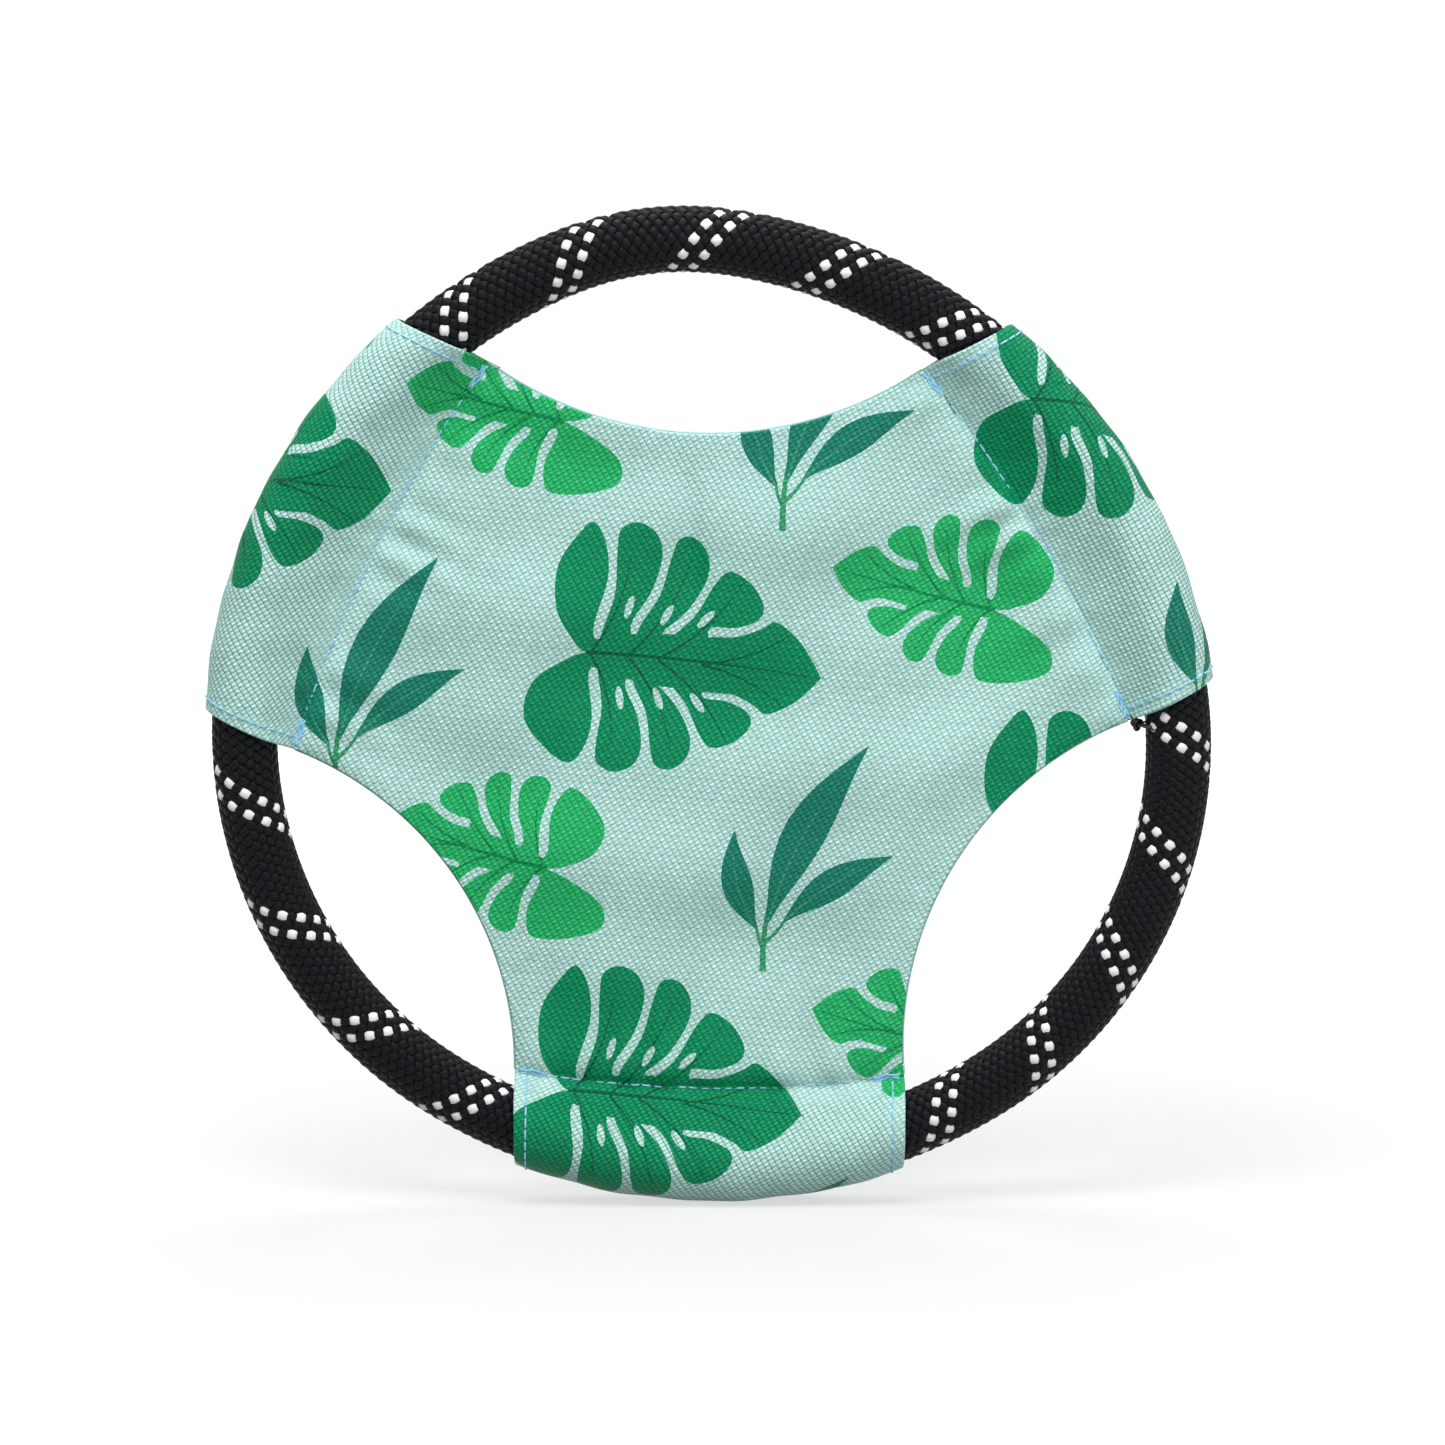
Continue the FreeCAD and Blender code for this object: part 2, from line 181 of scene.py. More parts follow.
def add_mesh(name, points, faces, materials, face_material=None):
    """A smooth mesh object from points in millimetres."""
    mesh = bpy.data.meshes.new(name)
    mesh.from_pydata((np.asarray(points, float) * MM).tolist(), [], [list(map(int, f)) for f in faces])
    for material in materials:
        mesh.materials.append(material)
    if face_material is not None:
        mesh.polygons.foreach_set("material_index", np.asarray(face_material, np.int32))
    mesh.polygons.foreach_set("use_smooth", np.ones(len(mesh.polygons), bool))
    mesh.update()
    made = bpy.data.objects.new(name, mesh)
    bpy.context.scene.collection.objects.link(made)
    return made


def tube(rings, closed=False):
    """Faces of a tube through rings of points, an array of ring x side x 3, and its points."""
    count, sides = rings.shape[:2]
    index = np.arange(count * sides).reshape(count, sides)
    here = index if closed else index[:-1]
    after = np.roll(index, -1, 0) if closed else index[1:]
    quads = np.stack([here, np.roll(here, -1, 1), np.roll(after, -1, 1), after], -1).reshape(-1, 4)
    faces = quads.tolist()
    if not closed:
        faces += [index[0][::-1].tolist(), index[-1].tolist()]
    return rings.reshape(-1, 3), faces


def joined(parts):
    """Several (points, faces) as one, with the number of faces of each."""
    points, faces, counts, base = [], [], [], 0
    for part_points, part_faces in parts:
        points.append(part_points)
        faces += [[i + base for i in face] for face in part_faces]
        counts.append(len(part_faces))
        base += len(part_points)
    return np.concatenate(points), faces, counts


turn_angles = np.radians([a for a, _ in BRAID_TURNS])
turn_counts = np.array([t for _, t in BRAID_TURNS], float)
around = np.arange(STRAND_SIDES) * TURN / STRAND_SIDES
strand_outline = np.stack([STRAND_HALF_WIDTH * np.cos(around),
                           STRAND_HALF_THICKNESS * np.sign(np.sin(around))
                           * np.abs(np.sin(around)) ** 0.7], -1)


def braid_angle(turns):
    """The direction of the hoop at which the strands have made so many turns."""
    whole = np.floor(turns / turn_counts[-1])
    return np.interp(turns - whole * turn_counts[-1], turn_counts, turn_angles) + whole * TURN


def braid_turns(angle):
    whole = math.floor((angle - turn_angles[0]) / TURN)
    return float(np.interp(angle - whole * TURN, turn_angles, turn_counts)) + whole * turn_counts[-1]


def strand(first, last, hand, number):
    """One strand between two directions of the hoop; hand is 1 or -1 for the way it turns."""
    step = CROSSINGS * STEPS_PER_CROSSING
    turns = np.arange(math.floor(braid_turns(first) * step), math.ceil(braid_turns(last) * step) + 1) / step
    centre, out = hoop_point(braid_angle(turns))
    spin = hand * TURN * turns + TURN * number / STRANDS_EACH_WAY
    away = -out * np.sin(spin)[:, None] - np.array([0, 1, 0]) * np.cos(spin)[:, None]
    swing = np.cos(math.pi * CROSSINGS * turns)
    rise = hand * STRAND_RISE * swing * (1.3 - 0.3 * swing ** 2)
    middle = centre + away * (rope_radius - STRAND_RISE - STRAND_HALF_THICKNESS + rise)[:, None]
    ahead = np.gradient(middle, axis=0)
    aside = np.cross(ahead, away)
    aside /= np.linalg.norm(aside, axis=1, keepdims=True)
    over = np.cross(aside, ahead)
    over /= np.linalg.norm(over, axis=1, keepdims=True)
    rings = (middle[:, None] + aside[:, None] * strand_outline[None, :, :1]
             + over[:, None] * strand_outline[None, :, 1:])
    return tube(rings)


def mouth_angle(arm, side):
    """The direction in which the rope leaves a sleeve: side is 1 for its far end, -1 for its near end."""
    heading, width = ARMS[arm]
    near = math.radians(heading)
    angles = near + np.radians(np.arange(-60, 60, 0.1))
    centre, _ = hoop_point(angles)
    across = -math.sin(near) * centre[:, 0] + math.cos(near) * centre[:, 2]
    return float(np.interp(side * width / 2, across, angles))


# textured polyester yarn, dyed black: soft dull ovals with a faint satin light along the fibres
black_yarn = new_material("braided_black_polyester")
place = add(black_yarn, "ShaderNodeTexCoord", {})
fibres = add(black_yarn, "ShaderNodeTexNoise",
             {"Vector": place.outputs["Object"], "Scale": 2600.0, "Detail": 3.0, "Roughness": 0.7})
patches = add(black_yarn, "ShaderNodeTexNoise", {"Vector": place.outputs["Object"], "Scale": 160.0})
tone = add(black_yarn, "ShaderNodeMath", {0: fibres, 1: patches}, operation="MULTIPLY")
shade = add(black_yarn, "ShaderNodeMix", {"Factor": tone, 6: linear("#010305"), 7: linear("#070e16")},
            data_type="RGBA")
fuzz = add(black_yarn, "ShaderNodeBump", {"Height": fibres, "Distance": 0.00012, "Strength": 0.8})
skin = add(black_yarn, "ShaderNodeBsdfPrincipled",
           {"Base Color": shade.outputs[2], "Roughness": 0.55, "Specular IOR Level": 0.15,
            "Sheen Weight": 0.01, "Sheen Roughness": 0.5, "Normal": fuzz})
add(black_yarn, "ShaderNodeOutputMaterial", {"Surface": skin})

# bleached white polyester yarn: bright, with painted shade: the noise that makes the fibres' bump also greys
# the colour slightly in its hollows
white_yarn = new_material("braided_white_polyester")
place = add(white_yarn, "ShaderNodeTexCoord", {})
fibres = add(white_yarn, "ShaderNodeTexNoise",
             {"Vector": place.outputs["Object"], "Scale": 2200.0, "Detail": 3.0, "Roughness": 0.7})
shade = add(white_yarn, "ShaderNodeMix", {"Factor": fibres, 6: linear("#d5d5d8"), 7: linear("#fbfbfb")},
            data_type="RGBA")
fuzz = add(white_yarn, "ShaderNodeBump", {"Height": fibres, "Distance": 0.0001, "Strength": 0.6})
skin = add(white_yarn, "ShaderNodeBsdfPrincipled",
           {"Base Color": shade.outputs[2], "Roughness": 0.6, "Specular IOR Level": 0.4, "Normal": fuzz})
add(white_yarn, "ShaderNodeOutputMaterial", {"Surface": skin})

bows = {"top": ("right", "left"), "left": ("left", "bottom"), "right": ("bottom", "right")}
for bow, (arm_before, arm_after) in bows.items():
    inset = BRAID_INTO_SLEEVE / 105.0
    first = mouth_angle(arm_before, 1) - inset
    last = mouth_angle(arm_after, -1) + inset
    if last < first:
        last += TURN
    strands = [strand(first, last, hand, number) for hand in (1, -1) for number in range(STRANDS_EACH_WAY)]
    points, faces, counts = joined(strands)
    tint = [int(k < STRANDS_EACH_WAY and k in TRACERS) for k in range(len(counts))]
    braid = add_mesh("rope_braid_" + bow, points, faces, [black_yarn, white_yarn], np.repeat(tint, counts))
    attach(braid, "root")
    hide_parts("rope_cover")

angles = np.arange(1440) * TURN / 1440
centre, out = hoop_point(angles)
cover_radius = np.full(len(angles), COVER_UNDER_BRAID)
for arm in ARM_ORDER:
    start, end = mouth_angle(arm, -1), mouth_angle(arm, 1)
    half = (end - start) / 2
    from_middle = np.abs((angles - (start + end) / 2 + math.pi) % TURN - math.pi)
    inside = np.clip((half - from_middle) * 105.0 - 2.0, 0, 4) / 4
    widened = COVER_UNDER_BRAID + (COVER_UNDER_SLEEVE - COVER_UNDER_BRAID) * inside
    cover_radius = np.maximum(cover_radius, widened)
spin = np.arange(32) * TURN / 32
away = -out[:, None] * np.sin(spin)[None, :, None] - np.array([0, 1, 0]) * np.cos(spin)[None, :, None]
points, faces = tube(centre[:, None] + away * cover_radius[:, None, None], closed=True)
cover = add_mesh("rope_cover_tube", points, faces, [black_yarn])
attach(cover, "root")
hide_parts("rope_cover")

# --- Joint of the rope's ends ------------------------------------------------------------------
# The two ends of the cord butt together inside the right sleeve, under a wrap of thin tape that
# is bound with fine black thread. Both are hidden by the sleeve.

# smooth vinyl tape: an even, faintly glossy black with slight ripples from the wrapping
vinyl = new_material("wrapped_vinyl_tape")
place = add(vinyl, "ShaderNodeTexCoord", {})
ripple = add(vinyl, "ShaderNodeTexNoise", {"Vector": place.outputs["Object"], "Scale": 120.0})
shade = add(vinyl, "ShaderNodeMix", {"Factor": ripple, 6: linear("#141414"), 7: linear("#222222")},
            data_type="RGBA")
dents = add(vinyl, "ShaderNodeBump", {"Height": ripple, "Distance": 0.0003, "Strength": 0.5})
skin = add(vinyl, "ShaderNodeBsdfPrincipled",
           {"Base Color": shade.outputs[2], "Roughness": 0.38, "Normal": dents})
add(vinyl, "ShaderNodeOutputMaterial", {"Surface": skin})
set_material("rope_join_wrap", vinyl)

# waxed black polyester thread: near black, with a soft light and the lean of its plies
black_thread = new_material("waxed_black_thread")
place = add(black_thread, "ShaderNodeTexCoord", {})
plies = add(black_thread, "ShaderNodeTexNoise", {"Vector": place.outputs["Object"], "Scale": 3000.0})
shade = add(black_thread, "ShaderNodeMix", {"Factor": plies, 6: linear("#0d0d0f"), 7: linear("#2b2b2e")},
            data_type="RGBA")
lean = add(black_thread, "ShaderNodeBump", {"Height": plies, "Distance": 0.0001, "Strength": 0.7})
skin = add(black_thread, "ShaderNodeBsdfPrincipled",
           {"Base Color": shade.outputs[2], "Roughness": 0.5, "Normal": lean})
add(black_thread, "ShaderNodeOutputMaterial", {"Surface": skin})
set_material("rope_join_whipping", black_thread)

# --- Front cloth ---------------------------------------------------------------------------------
# The front is one piece of coarse plain-woven polyester: the panel and three flaps. Its sides are
# turned in, each flap goes round the rope and is sewn down along the channel seam, and the flap's
# end is caught between the two layers. The print was made on the flat cloth before it was cut.

CLOTH = 0.45                 # thickness of one layer
PANEL_DEPTH = 0.82           # of the cloth's middle, from the panel's own middle plane
SEAM_DEPTH = 0.40            # the same at the channel seam, where the stitches pull it in
SEAM_INSET = 1.2             # from the panel's outline in to the channel seam
SLEEVE_CLEARANCE = 0.65      # from the rope to the sleeve's solid
SLEEVE_WALL = 0.8            # thickness of that solid, which this cloth lies just inside
SLEEVE_RADIUS = rope_radius + SLEEVE_CLEARANCE + SLEEVE_WALL - CLOTH / 2
FOLD = 0.26                  # radius of a turned edge
ALLOWANCE = 3.4              # cloth turned in behind an edge
TUCK = 3.0                   # flap's end, caught between the layers
GRID = 1.55                  # spacing of the mesh's points in the flat
# rows of points along the turned edges, by how far in from the edge they lie
FOLD_ROWS = (0.26, 0.12, -0.02, -0.16, -0.30, -0.44, -0.56, -1.5)

panel_reach = wall_distance("front_panel", -0.4)


def circle_through(a, b, c):
    """Centre and radius of the circle through three points of the plane."""
    matrix = 2 * np.array([b - a, c - a])
    middle = np.linalg.solve(matrix, [b @ b - a @ a, c @ c - a @ a])
    return middle, float(np.linalg.norm(middle - a))


def outline_point(angle):
    """The point of the panel's outline in a direction from the middle, in radians."""
    reach = np.interp(angle % TURN, directions, panel_reach)
    return np.array([reach * math.cos(angle), reach * math.sin(angle)])


class Flap:
    """One arm of the cloth, from the channel seam out, in the flat and round the rope."""

    def __init__(self, name):
        heading, self.width = ARMS[name]
        self.heading = math.radians(heading)
        self.along = np.array([math.cos(self.heading), math.sin(self.heading)])
        self.across = np.array([-self.along[1], self.along[0]])
        spots = [outline_point(a) for a in self.heading + np.radians([-18, 0, 18])]
        self.seam_middle, self.seam_radius = circle_through(*spots)
        angles = self.heading + np.radians(np.arange(-50, 50, 0.25))
        centre, _ = hoop_point(angles)
        flat = centre[:, [0, 2]]
        self.rope_aside = flat @ self.across
        self.rope_reach = flat @ self.along
        self.stations = np.linspace(-self.width / 2 - 1, self.width / 2 + 1, 61)
        paths = [self.section(q) for q in self.stations]
        self.lengths = np.array([length for _, length in paths])
        self.paths = np.stack([path for path, _ in paths])
        self.corner_angle = {}
        for side in (-1, 1):
            q = side * self.width / 2
            self.corner_angle[side] = self.heading + math.atan2(q, self.seam(q) + SEAM_INSET)

    def seam(self, q):
        """How far out along the arm the channel seam is, at q across."""
        aside = q - self.seam_middle @ self.across
        return self.seam_middle @ self.along + np.sqrt(self.seam_radius ** 2 - aside ** 2) - SEAM_INSET

    def section(self, q):
        """The flap's way round the rope at one place: (outward, back) points and their length."""
        depth = np.interp(q, self.rope_aside, self.rope_reach) - self.seam(q)
        slope = (np.interp(q + 1, self.rope_aside, self.rope_reach)
                 - np.interp(q - 1, self.rope_aside, self.rope_reach)) / 2
        stretch = math.hypot(1, slope)
        squeezed = math.hypot(depth / stretch, SEAM_DEPTH)
        first = -math.pi + math.atan2(SEAM_DEPTH, depth / stretch) + math.acos(SLEEVE_RADIUS / squeezed)
        turn = np.linspace(first, -first, 200)
        path = np.stack([SLEEVE_RADIUS * stretch * np.cos(turn), SLEEVE_RADIUS * np.sin(turn)], -1)
        path = np.concatenate([[[-depth, -SEAM_DEPTH]], path, [[-depth, SEAM_DEPTH]]])
        # the tucked end turns back in between the layers
        path = np.concatenate([path, [[-depth - TUCK, 0.12]]])
        lengths = np.append(0, np.cumsum(np.linalg.norm(np.diff(path, axis=0), axis=1)))
        even = np.linspace(0, lengths[-1], 161)
        path = np.stack([np.interp(even, lengths, path[:, k]) for k in (0, 1)], -1)
        return path, lengths[-1]

    def length(self, q):
        return np.interp(q, self.stations, self.lengths)

    def round_rope(self, q, tau):
        """Where the flap's cloth lies, at q across and tau beyond the seam."""
        share = tau / self.length(q) * (self.paths.shape[1] - 1)
        row = np.interp(q, self.stations, np.arange(len(self.stations)))
        row = np.clip(row, 0, len(self.stations) - 1.001)
        i, j = row.astype(int), np.clip(np.floor(share).astype(int), 0, self.paths.shape[1] - 2)
        u, v = (row - i)[:, None], (share - j)[:, None]
        spot = ((1 - u) * (1 - v) * self.paths[i, j] + u * (1 - v) * self.paths[i + 1, j]
                + (1 - u) * v * self.paths[i, j + 1] + u * v * self.paths[i + 1, j + 1])
        reach = np.interp(q, self.rope_aside, self.rope_reach) + spot[:, 0]
        flat = q[:, None] * self.across + reach[:, None] * self.along
        return np.stack([flat[:, 0], spot[:, 1], flat[:, 1]], -1)


flaps = {name: Flap(name) for name in ARM_ORDER}
edges = []                   # the three curved sides of the panel, as circles outside it
for arm, after in zip(ARM_ORDER, ARM_ORDER[1:] + ARM_ORDER[:1]):
    start, end = flaps[arm].corner_angle[1], flaps[after].corner_angle[-1]
    end += TURN if end < start else 0
    spots = []
    for share in (0.1, 0.5, 0.9):
        spots.append(outline_point(start + share * (end - start)))
    edges.append(circle_through(*spots))


def swell(flat):
    """How far the panel lies off its plane: a few soft level ripples that die out at its edges."""
    x, z = flat[:, 0], flat[:, 1]
    waves = (0.42 * np.sin(z / 4.2 + 1.3 * np.sin(x / 31 + 0.6) + 0.4)
             + 1.0 * np.sin(z / 10.5 - x / 34 + 1.1) + 1.0 * np.sin(x / 12.0 + z / 40 + 2.0)
             + 0.40 * np.sin(x / 6.1 - z / 7.7))
    # one soft crease hangs down from the middle of the top edge
    waves += 1.3 * np.exp(-((x + 2 + 0.06 * z) / 3.2) ** 2) * np.clip((z - 5) / 30, 0, 1)
    from_edge = panel_inset(flat)
    for flap in flaps.values():
        q = flat @ flap.across
        to_seam = np.where(flat @ flap.along > 0, flap.seam(q) - flat @ flap.along, 99)
        from_edge = np.minimum(from_edge, to_seam)
    calm = 1 - np.exp(-(np.maximum(from_edge, 0) / 11) ** 2)
    return waves * calm


def panel_inset(flat):
    """Distance in from the nearest curved side of the panel."""
    return np.min([np.linalg.norm(flat - middle, axis=1) - radius for middle, radius in edges], axis=0)


def gathers(along_edge, from_edge, reach, pitch, seed):
    """Small tucks that the stitching leaves square to an edge."""
    wave = np.sin(TURN * along_edge / pitch + 1.7 * np.sin(along_edge / 9.0 + seed))
    strength = 0.6 + 0.4 * np.sin(along_edge / 5.3 + 2 * seed)
    return wave * strength * np.exp(-np.maximum(from_edge, 0) / reach)


def lay_panel(flat, side):
    """Where a panel layer lies; side is -1 for the front layer and 1 for the back."""
    depth = np.full(len(flat), PANEL_DEPTH)
    for k, flap in enumerate(flaps.values()):
        inset = flap.seam(flat @ flap.across) - flat @ flap.along
        inset = np.where(flat @ flap.along > 0, inset, 99)
        depth -= (PANEL_DEPTH - SEAM_DEPTH) * np.exp(-np.maximum(inset, 0) / 1.5)
        near = np.clip(inset, 0, 99)
        uneven = 0.6 + 0.4 * gathers(flat @ flap.across, 0 * near, 1, 11, k)
        depth += 1.9 * (near / 5) * np.exp(1 - near / 5) * uneven
    inset = panel_inset(flat)
    for k, (middle, radius) in enumerate(edges):
        away = flat - middle
        reach = np.linalg.norm(away, axis=1) - radius
        arc = np.arctan2(away[:, 1], away[:, 0]) * radius
        depth += 0.22 * gathers(arc, reach, 7, 8, k + 4) * (1 - np.exp(-np.maximum(reach, 0) / 1.5))
    rim = 1 - np.exp(-np.maximum(inset, 0) / 2.5)
    y = side * (PANEL_DEPTH + (depth - PANEL_DEPTH) * rim) + swell(flat)
    return np.stack([flat[:, 0], y, flat[:, 1]], -1)


def which_flap(flat):
    """Number of the flap that each flat point is on, or -1 on the panel."""
    found = np.full(len(flat), -1)
    for k, flap in enumerate(flaps.values()):
        q, reach = flat @ flap.across, flat @ flap.along
        held = np.clip(q, -flap.width / 2, flap.width / 2)
        found[(np.abs(q) < flap.width / 2 + 2 * ALLOWANCE) & (reach > flap.seam(held)) & (reach > 0)] = k
    return found


def lay_front(flat, on=None):
    """Where the front cloth lies, panel and flaps, before its edges are turned in."""
    on = which_flap(flat) if on is None else on
    laid = np.zeros((len(flat), 3))
    mine = on < 0
    laid[mine] = lay_panel(flat[mine], -1)
    for k, flap in enumerate(flaps.values()):
        mine = on == k
        if not mine.any():
            continue
        q = flat[mine] @ flap.across
        held = np.clip(q, -flap.width / 2, flap.width / 2)
        tau = flat[mine] @ flap.along - flap.seam(held)
        spot = flap.round_rope(q, tau)
        ahead = flap.round_rope(q, tau + 0.3) - flap.round_rope(q, tau - 0.3)
        beside = flap.round_rope(q + 0.3, tau) - flap.round_rope(q - 0.3, tau)
        out = np.cross(ahead, beside)
        out /= np.linalg.norm(out, axis=1, keepdims=True)
        from_seam = np.minimum(tau, np.maximum(flap.length(q) - TUCK - tau, 0))
        lift = (0.35 * gathers(q, from_seam, 5, 7.5, k) * (1 - np.exp(-from_seam / 1.2))
                + 0.12 * np.sin(q / 4.1 + tau / 6.0 + k) + 0.10 * np.sin(q / 2.3 - tau / 3.7))
        laid[mine] = spot + out * (lift * np.clip(from_seam / 3, 0, 1))[:, None]
    return laid


def turned(flat, on, lay):
    """Lays the cloth and turns its sides in. Returns the points and their outward directions."""
    inset = panel_inset(flat)
    inward = np.zeros_like(flat)
    distances = np.array([np.linalg.norm(flat - middle, axis=1) - radius for middle, radius in edges])
    nearest = distances.argmin(0)
    for k, (middle, radius) in enumerate(edges):
        away = flat - middle
        unit = away / np.linalg.norm(away, axis=1, keepdims=True)
        inward[nearest == k] = unit[nearest == k]
    for k, flap in enumerate(flaps.values()):
        mine = on == k
        q = flat[mine] @ flap.across
        inset[mine] = flap.width / 2 - np.abs(q)
        inward[mine] = -np.sign(q)[:, None] * flap.across
    bend = np.clip((FOLD - inset) / FOLD, 0, None)
    curl = np.minimum(bend, math.pi)
    kept = np.where(bend > 0, FOLD - FOLD * np.sin(curl) + FOLD * (bend - curl), inset)
    sunk = FOLD * (1 - np.cos(curl))
    base = flat + inward * (kept - inset)[:, None]
    spot = lay(base, on)
    step = 0.25
    ahead = lay(base + [step, 0], on) - lay(base - [step, 0], on)
    beside = lay(base + [0, step], on) - lay(base - [0, step], on)
    out = np.cross(ahead, beside)
    out /= np.linalg.norm(out, axis=1, keepdims=True)
    rim = lay(base + inward * step, on) - spot
    rim /= np.linalg.norm(rim, axis=1, keepdims=True)
    face = out * np.cos(curl)[:, None] - rim * np.sin(curl)[:, None]
    return spot - out * sunk[:, None], face


def side_rows(offset, with_flaps):
    """The cloth's three sides, each a row of flat points that lies so far in from the edge."""
    rows = []
    names = list(ARM_ORDER)
    for k, (middle, radius) in enumerate(edges):
        before, after = flaps[names[k]], flaps[names[(k + 1) % 3]]
        row = []
        if with_flaps:
            q = before.width / 2
            far = before.length(q)
            taus = np.linspace(far, 0.6, int(far / 1.3))
            row += [before.across * (q - offset) + before.along * (before.seam(q) + t) for t in taus]
        start = outline_point(before.corner_angle[1])
        end = outline_point(after.corner_angle[-1])
        first, last = [math.atan2(*(p - middle)[::-1]) for p in (start, end)]
        last += TURN if last - first > math.pi else 0
        turn = (last - first + math.pi) % TURN - math.pi
        bends = first + turn * np.linspace(0, 1, int(abs(turn) * radius / 1.3))
        row += [middle + (radius + offset) * np.array([math.cos(b), math.sin(b)]) for b in bends]
        if with_flaps:
            q = -after.width / 2
            far = after.length(q)
            taus = np.linspace(0.6, far, int(far / 1.3))
            row += [after.across * (q + offset) + after.along * (after.seam(q) + t) for t in taus]
        rows.append(np.array(row))
    return rows


def inside(polygon, points):
    """Which points are inside a closed polygon."""
    found = np.zeros(len(points), bool)
    low, high = polygon.min(0), polygon.max(0)
    box = np.nonzero(((points >= low) & (points <= high)).all(1))[0]
    x, y = points[box].T
    hit = np.zeros(len(box), bool)
    for (x1, y1), (x2, y2) in zip(polygon, np.roll(polygon, -1, 0)):
        if y1 != y2:
            hit ^= ((y1 > y) != (y2 > y)) & (x < x1 + (y - y1) * (x2 - x1) / (y2 - y1))
    found[box] = hit
    return found


def smooth_outline(corners, steps=6):
    """A closed smooth curve through a few points."""
    p = np.array(corners, float)
    before, after, last = np.roll(p, 1, 0), np.roll(p, -1, 0), np.roll(p, -2, 0)
    t = (np.arange(steps) / steps)[None, :, None]
    a, b, c, d = (q[:, None] for q in (before, p, after, last))
    curve = 0.5 * (2 * b + (c - a) * t + (2 * a - 5 * b + 4 * c - d) * t ** 2
                   + (3 * b - a - 3 * c + d) * t ** 3)
    return curve.reshape(-1, 2)


def stroke(points, widths):
    """A tapered line through points, as a closed outline."""
    p = np.array(points, float)
    ahead = np.gradient(p, axis=0)
    ahead /= np.linalg.norm(ahead, axis=1, keepdims=True)
    aside = np.stack([-ahead[:, 1], ahead[:, 0]], -1) * np.array(widths, float)[:, None] / 2
    return np.concatenate([p + aside, (p - aside)[::-1]])


def bent_line(start, end, bend, count=7):
    """Points from start to end along a line that bows to one side by a share of its length."""
    start, end = np.array(start, float), np.array(end, float)
    t = np.linspace(0, 1, count)[:, None]
    aside = np.array([-(end - start)[1], (end - start)[0]])
    return start + (end - start) * t + aside * bend * 4 * t * (1 - t)


DARK_LEAF, DARK_VEIN = linear("#008b5c"), linear("#005f3f")
PALE_LEAF, PALE_VEIN = linear("#26b369"), linear("#06894e")
SPRIG, SPRIG_VEIN, STEM = linear("#197f69"), linear("#379373"), linear("#3a9a6c")
MINT = linear("#b4ded7")


def bank(line, gap):
    """One side of a slit, for the lobe that it borders."""
    ahead = np.gradient(line, axis=0)
    ahead /= np.linalg.norm(ahead, axis=1, keepdims=True)
    return line + np.stack([-ahead[:, 1], ahead[:, 0]], -1) * gap / 2


def split_leaf(length, half, back, slits, slit_width, holes, vein_width, ink, vein_ink, hand=1):
    """A split leaf along +X from its stem joint: round lobes with slits between them, small oval
    holes beside the midrib, and a pointed tip. Each slit has its inner and its outer place as
    shares of the length, and how far out it ends as a share of the half width."""
    shapes, veins, ovals = [], [], []
    core = bent_line((0, 0), (0.97 * length, 0), 0, 7)
    shapes.append((stroke(core, half * np.array([0.20, 0.34, 0.40, 0.42, 0.40, 0.26, 0.02])), ink, None))
    for side in (1, -1):
        reach = half * (1.0 if side == hand else 0.86)
        lobe = back * (0.8 if side == hand else 1.15)
        lines = [bent_line((inner * length, side * (0.17 + 0.07 * (k % 2)) * reach),
                           (outer * length, side * out * reach), -0.09 * side, 9)
                 for k, (inner, outer, out) in enumerate(slits)]
        gap = slit_width * side
        near, far = [bank(line, gap) for line in lines], [bank(line, -gap) for line in lines]
        heel = [(0.05 * length, 0), (-0.02 * length, 0), (-0.40 * lobe, side * 0.07 * half),
                (-0.90 * lobe, side * 0.30 * reach), (-0.98 * lobe, side * 0.62 * reach),
                (-0.55 * lobe, side * 0.88 * reach), (near[0][7][0] - 0.06 * length, side * 0.97 * reach),
                near[0][7] * [1, 0.97], near[0][4], near[0][0]]
        shapes.append((smooth_outline(heel), ink, None))
        for k in range(len(slits) - 1):
            left, right = far[k], near[k + 1]
            crest = (left[8] + right[8]) / 2 + (right[8] - right[6]) * 0.25
            rising = (left[8] + left[7]) / 2 * 0.72 + crest * 0.28
            falling = (right[8] + right[7]) / 2 * 0.72 + crest * 0.28
            finger = [left[0] * [1, 0.3], left[0], left[3], left[6], rising, crest,
                      falling, right[6], right[3], right[0], right[0] * [1, 0.3]]
            shapes.append((smooth_outline(finger), ink, None))
        tip = far[-1]
        point = [(0.9 * length, 0), tip[0] * [1, 0.5], tip[0], tip[3], tip[6], tip[8] * [1.0, 0.96],
                 (0.88 * length, side * 0.27 * reach), (0.95 * length, side * 0.13 * reach),
                 (length, 0), (length, 0)]
        shapes.append((smooth_outline(point), ink, None))
        for share, out, tilt in holes:
            spot = np.array([share * length, side * out * reach])
            turn = np.linspace(0, TURN, 14, endpoint=False)
            oval = np.stack([2.6 * np.cos(turn), 0.85 * np.sin(turn)], -1)
            c, s = math.cos(math.radians(tilt)), math.sin(math.radians(tilt)) * side
            ovals.append((spot + oval @ np.array([[c, s], [-s, c]]), None, None))
        for inner, outer, out in slits:
            start = ((inner - 0.02) * length, 0)
            end = ((outer + 0.11) * length, side * 0.80 * out * reach)
            widths = np.linspace(vein_width, 0.15, 6)
            veins.append((stroke(bent_line(start, end, -0.07 * side, 6), widths), vein_ink, ink))
    rib = bent_line((-1.0, 0), (0.94 * length, 0), 0.012, 9)
    veins.append((stroke(rib, np.linspace(1.5 * vein_width, 0.2, 9)), vein_ink, None))
    return shapes + ovals + veins


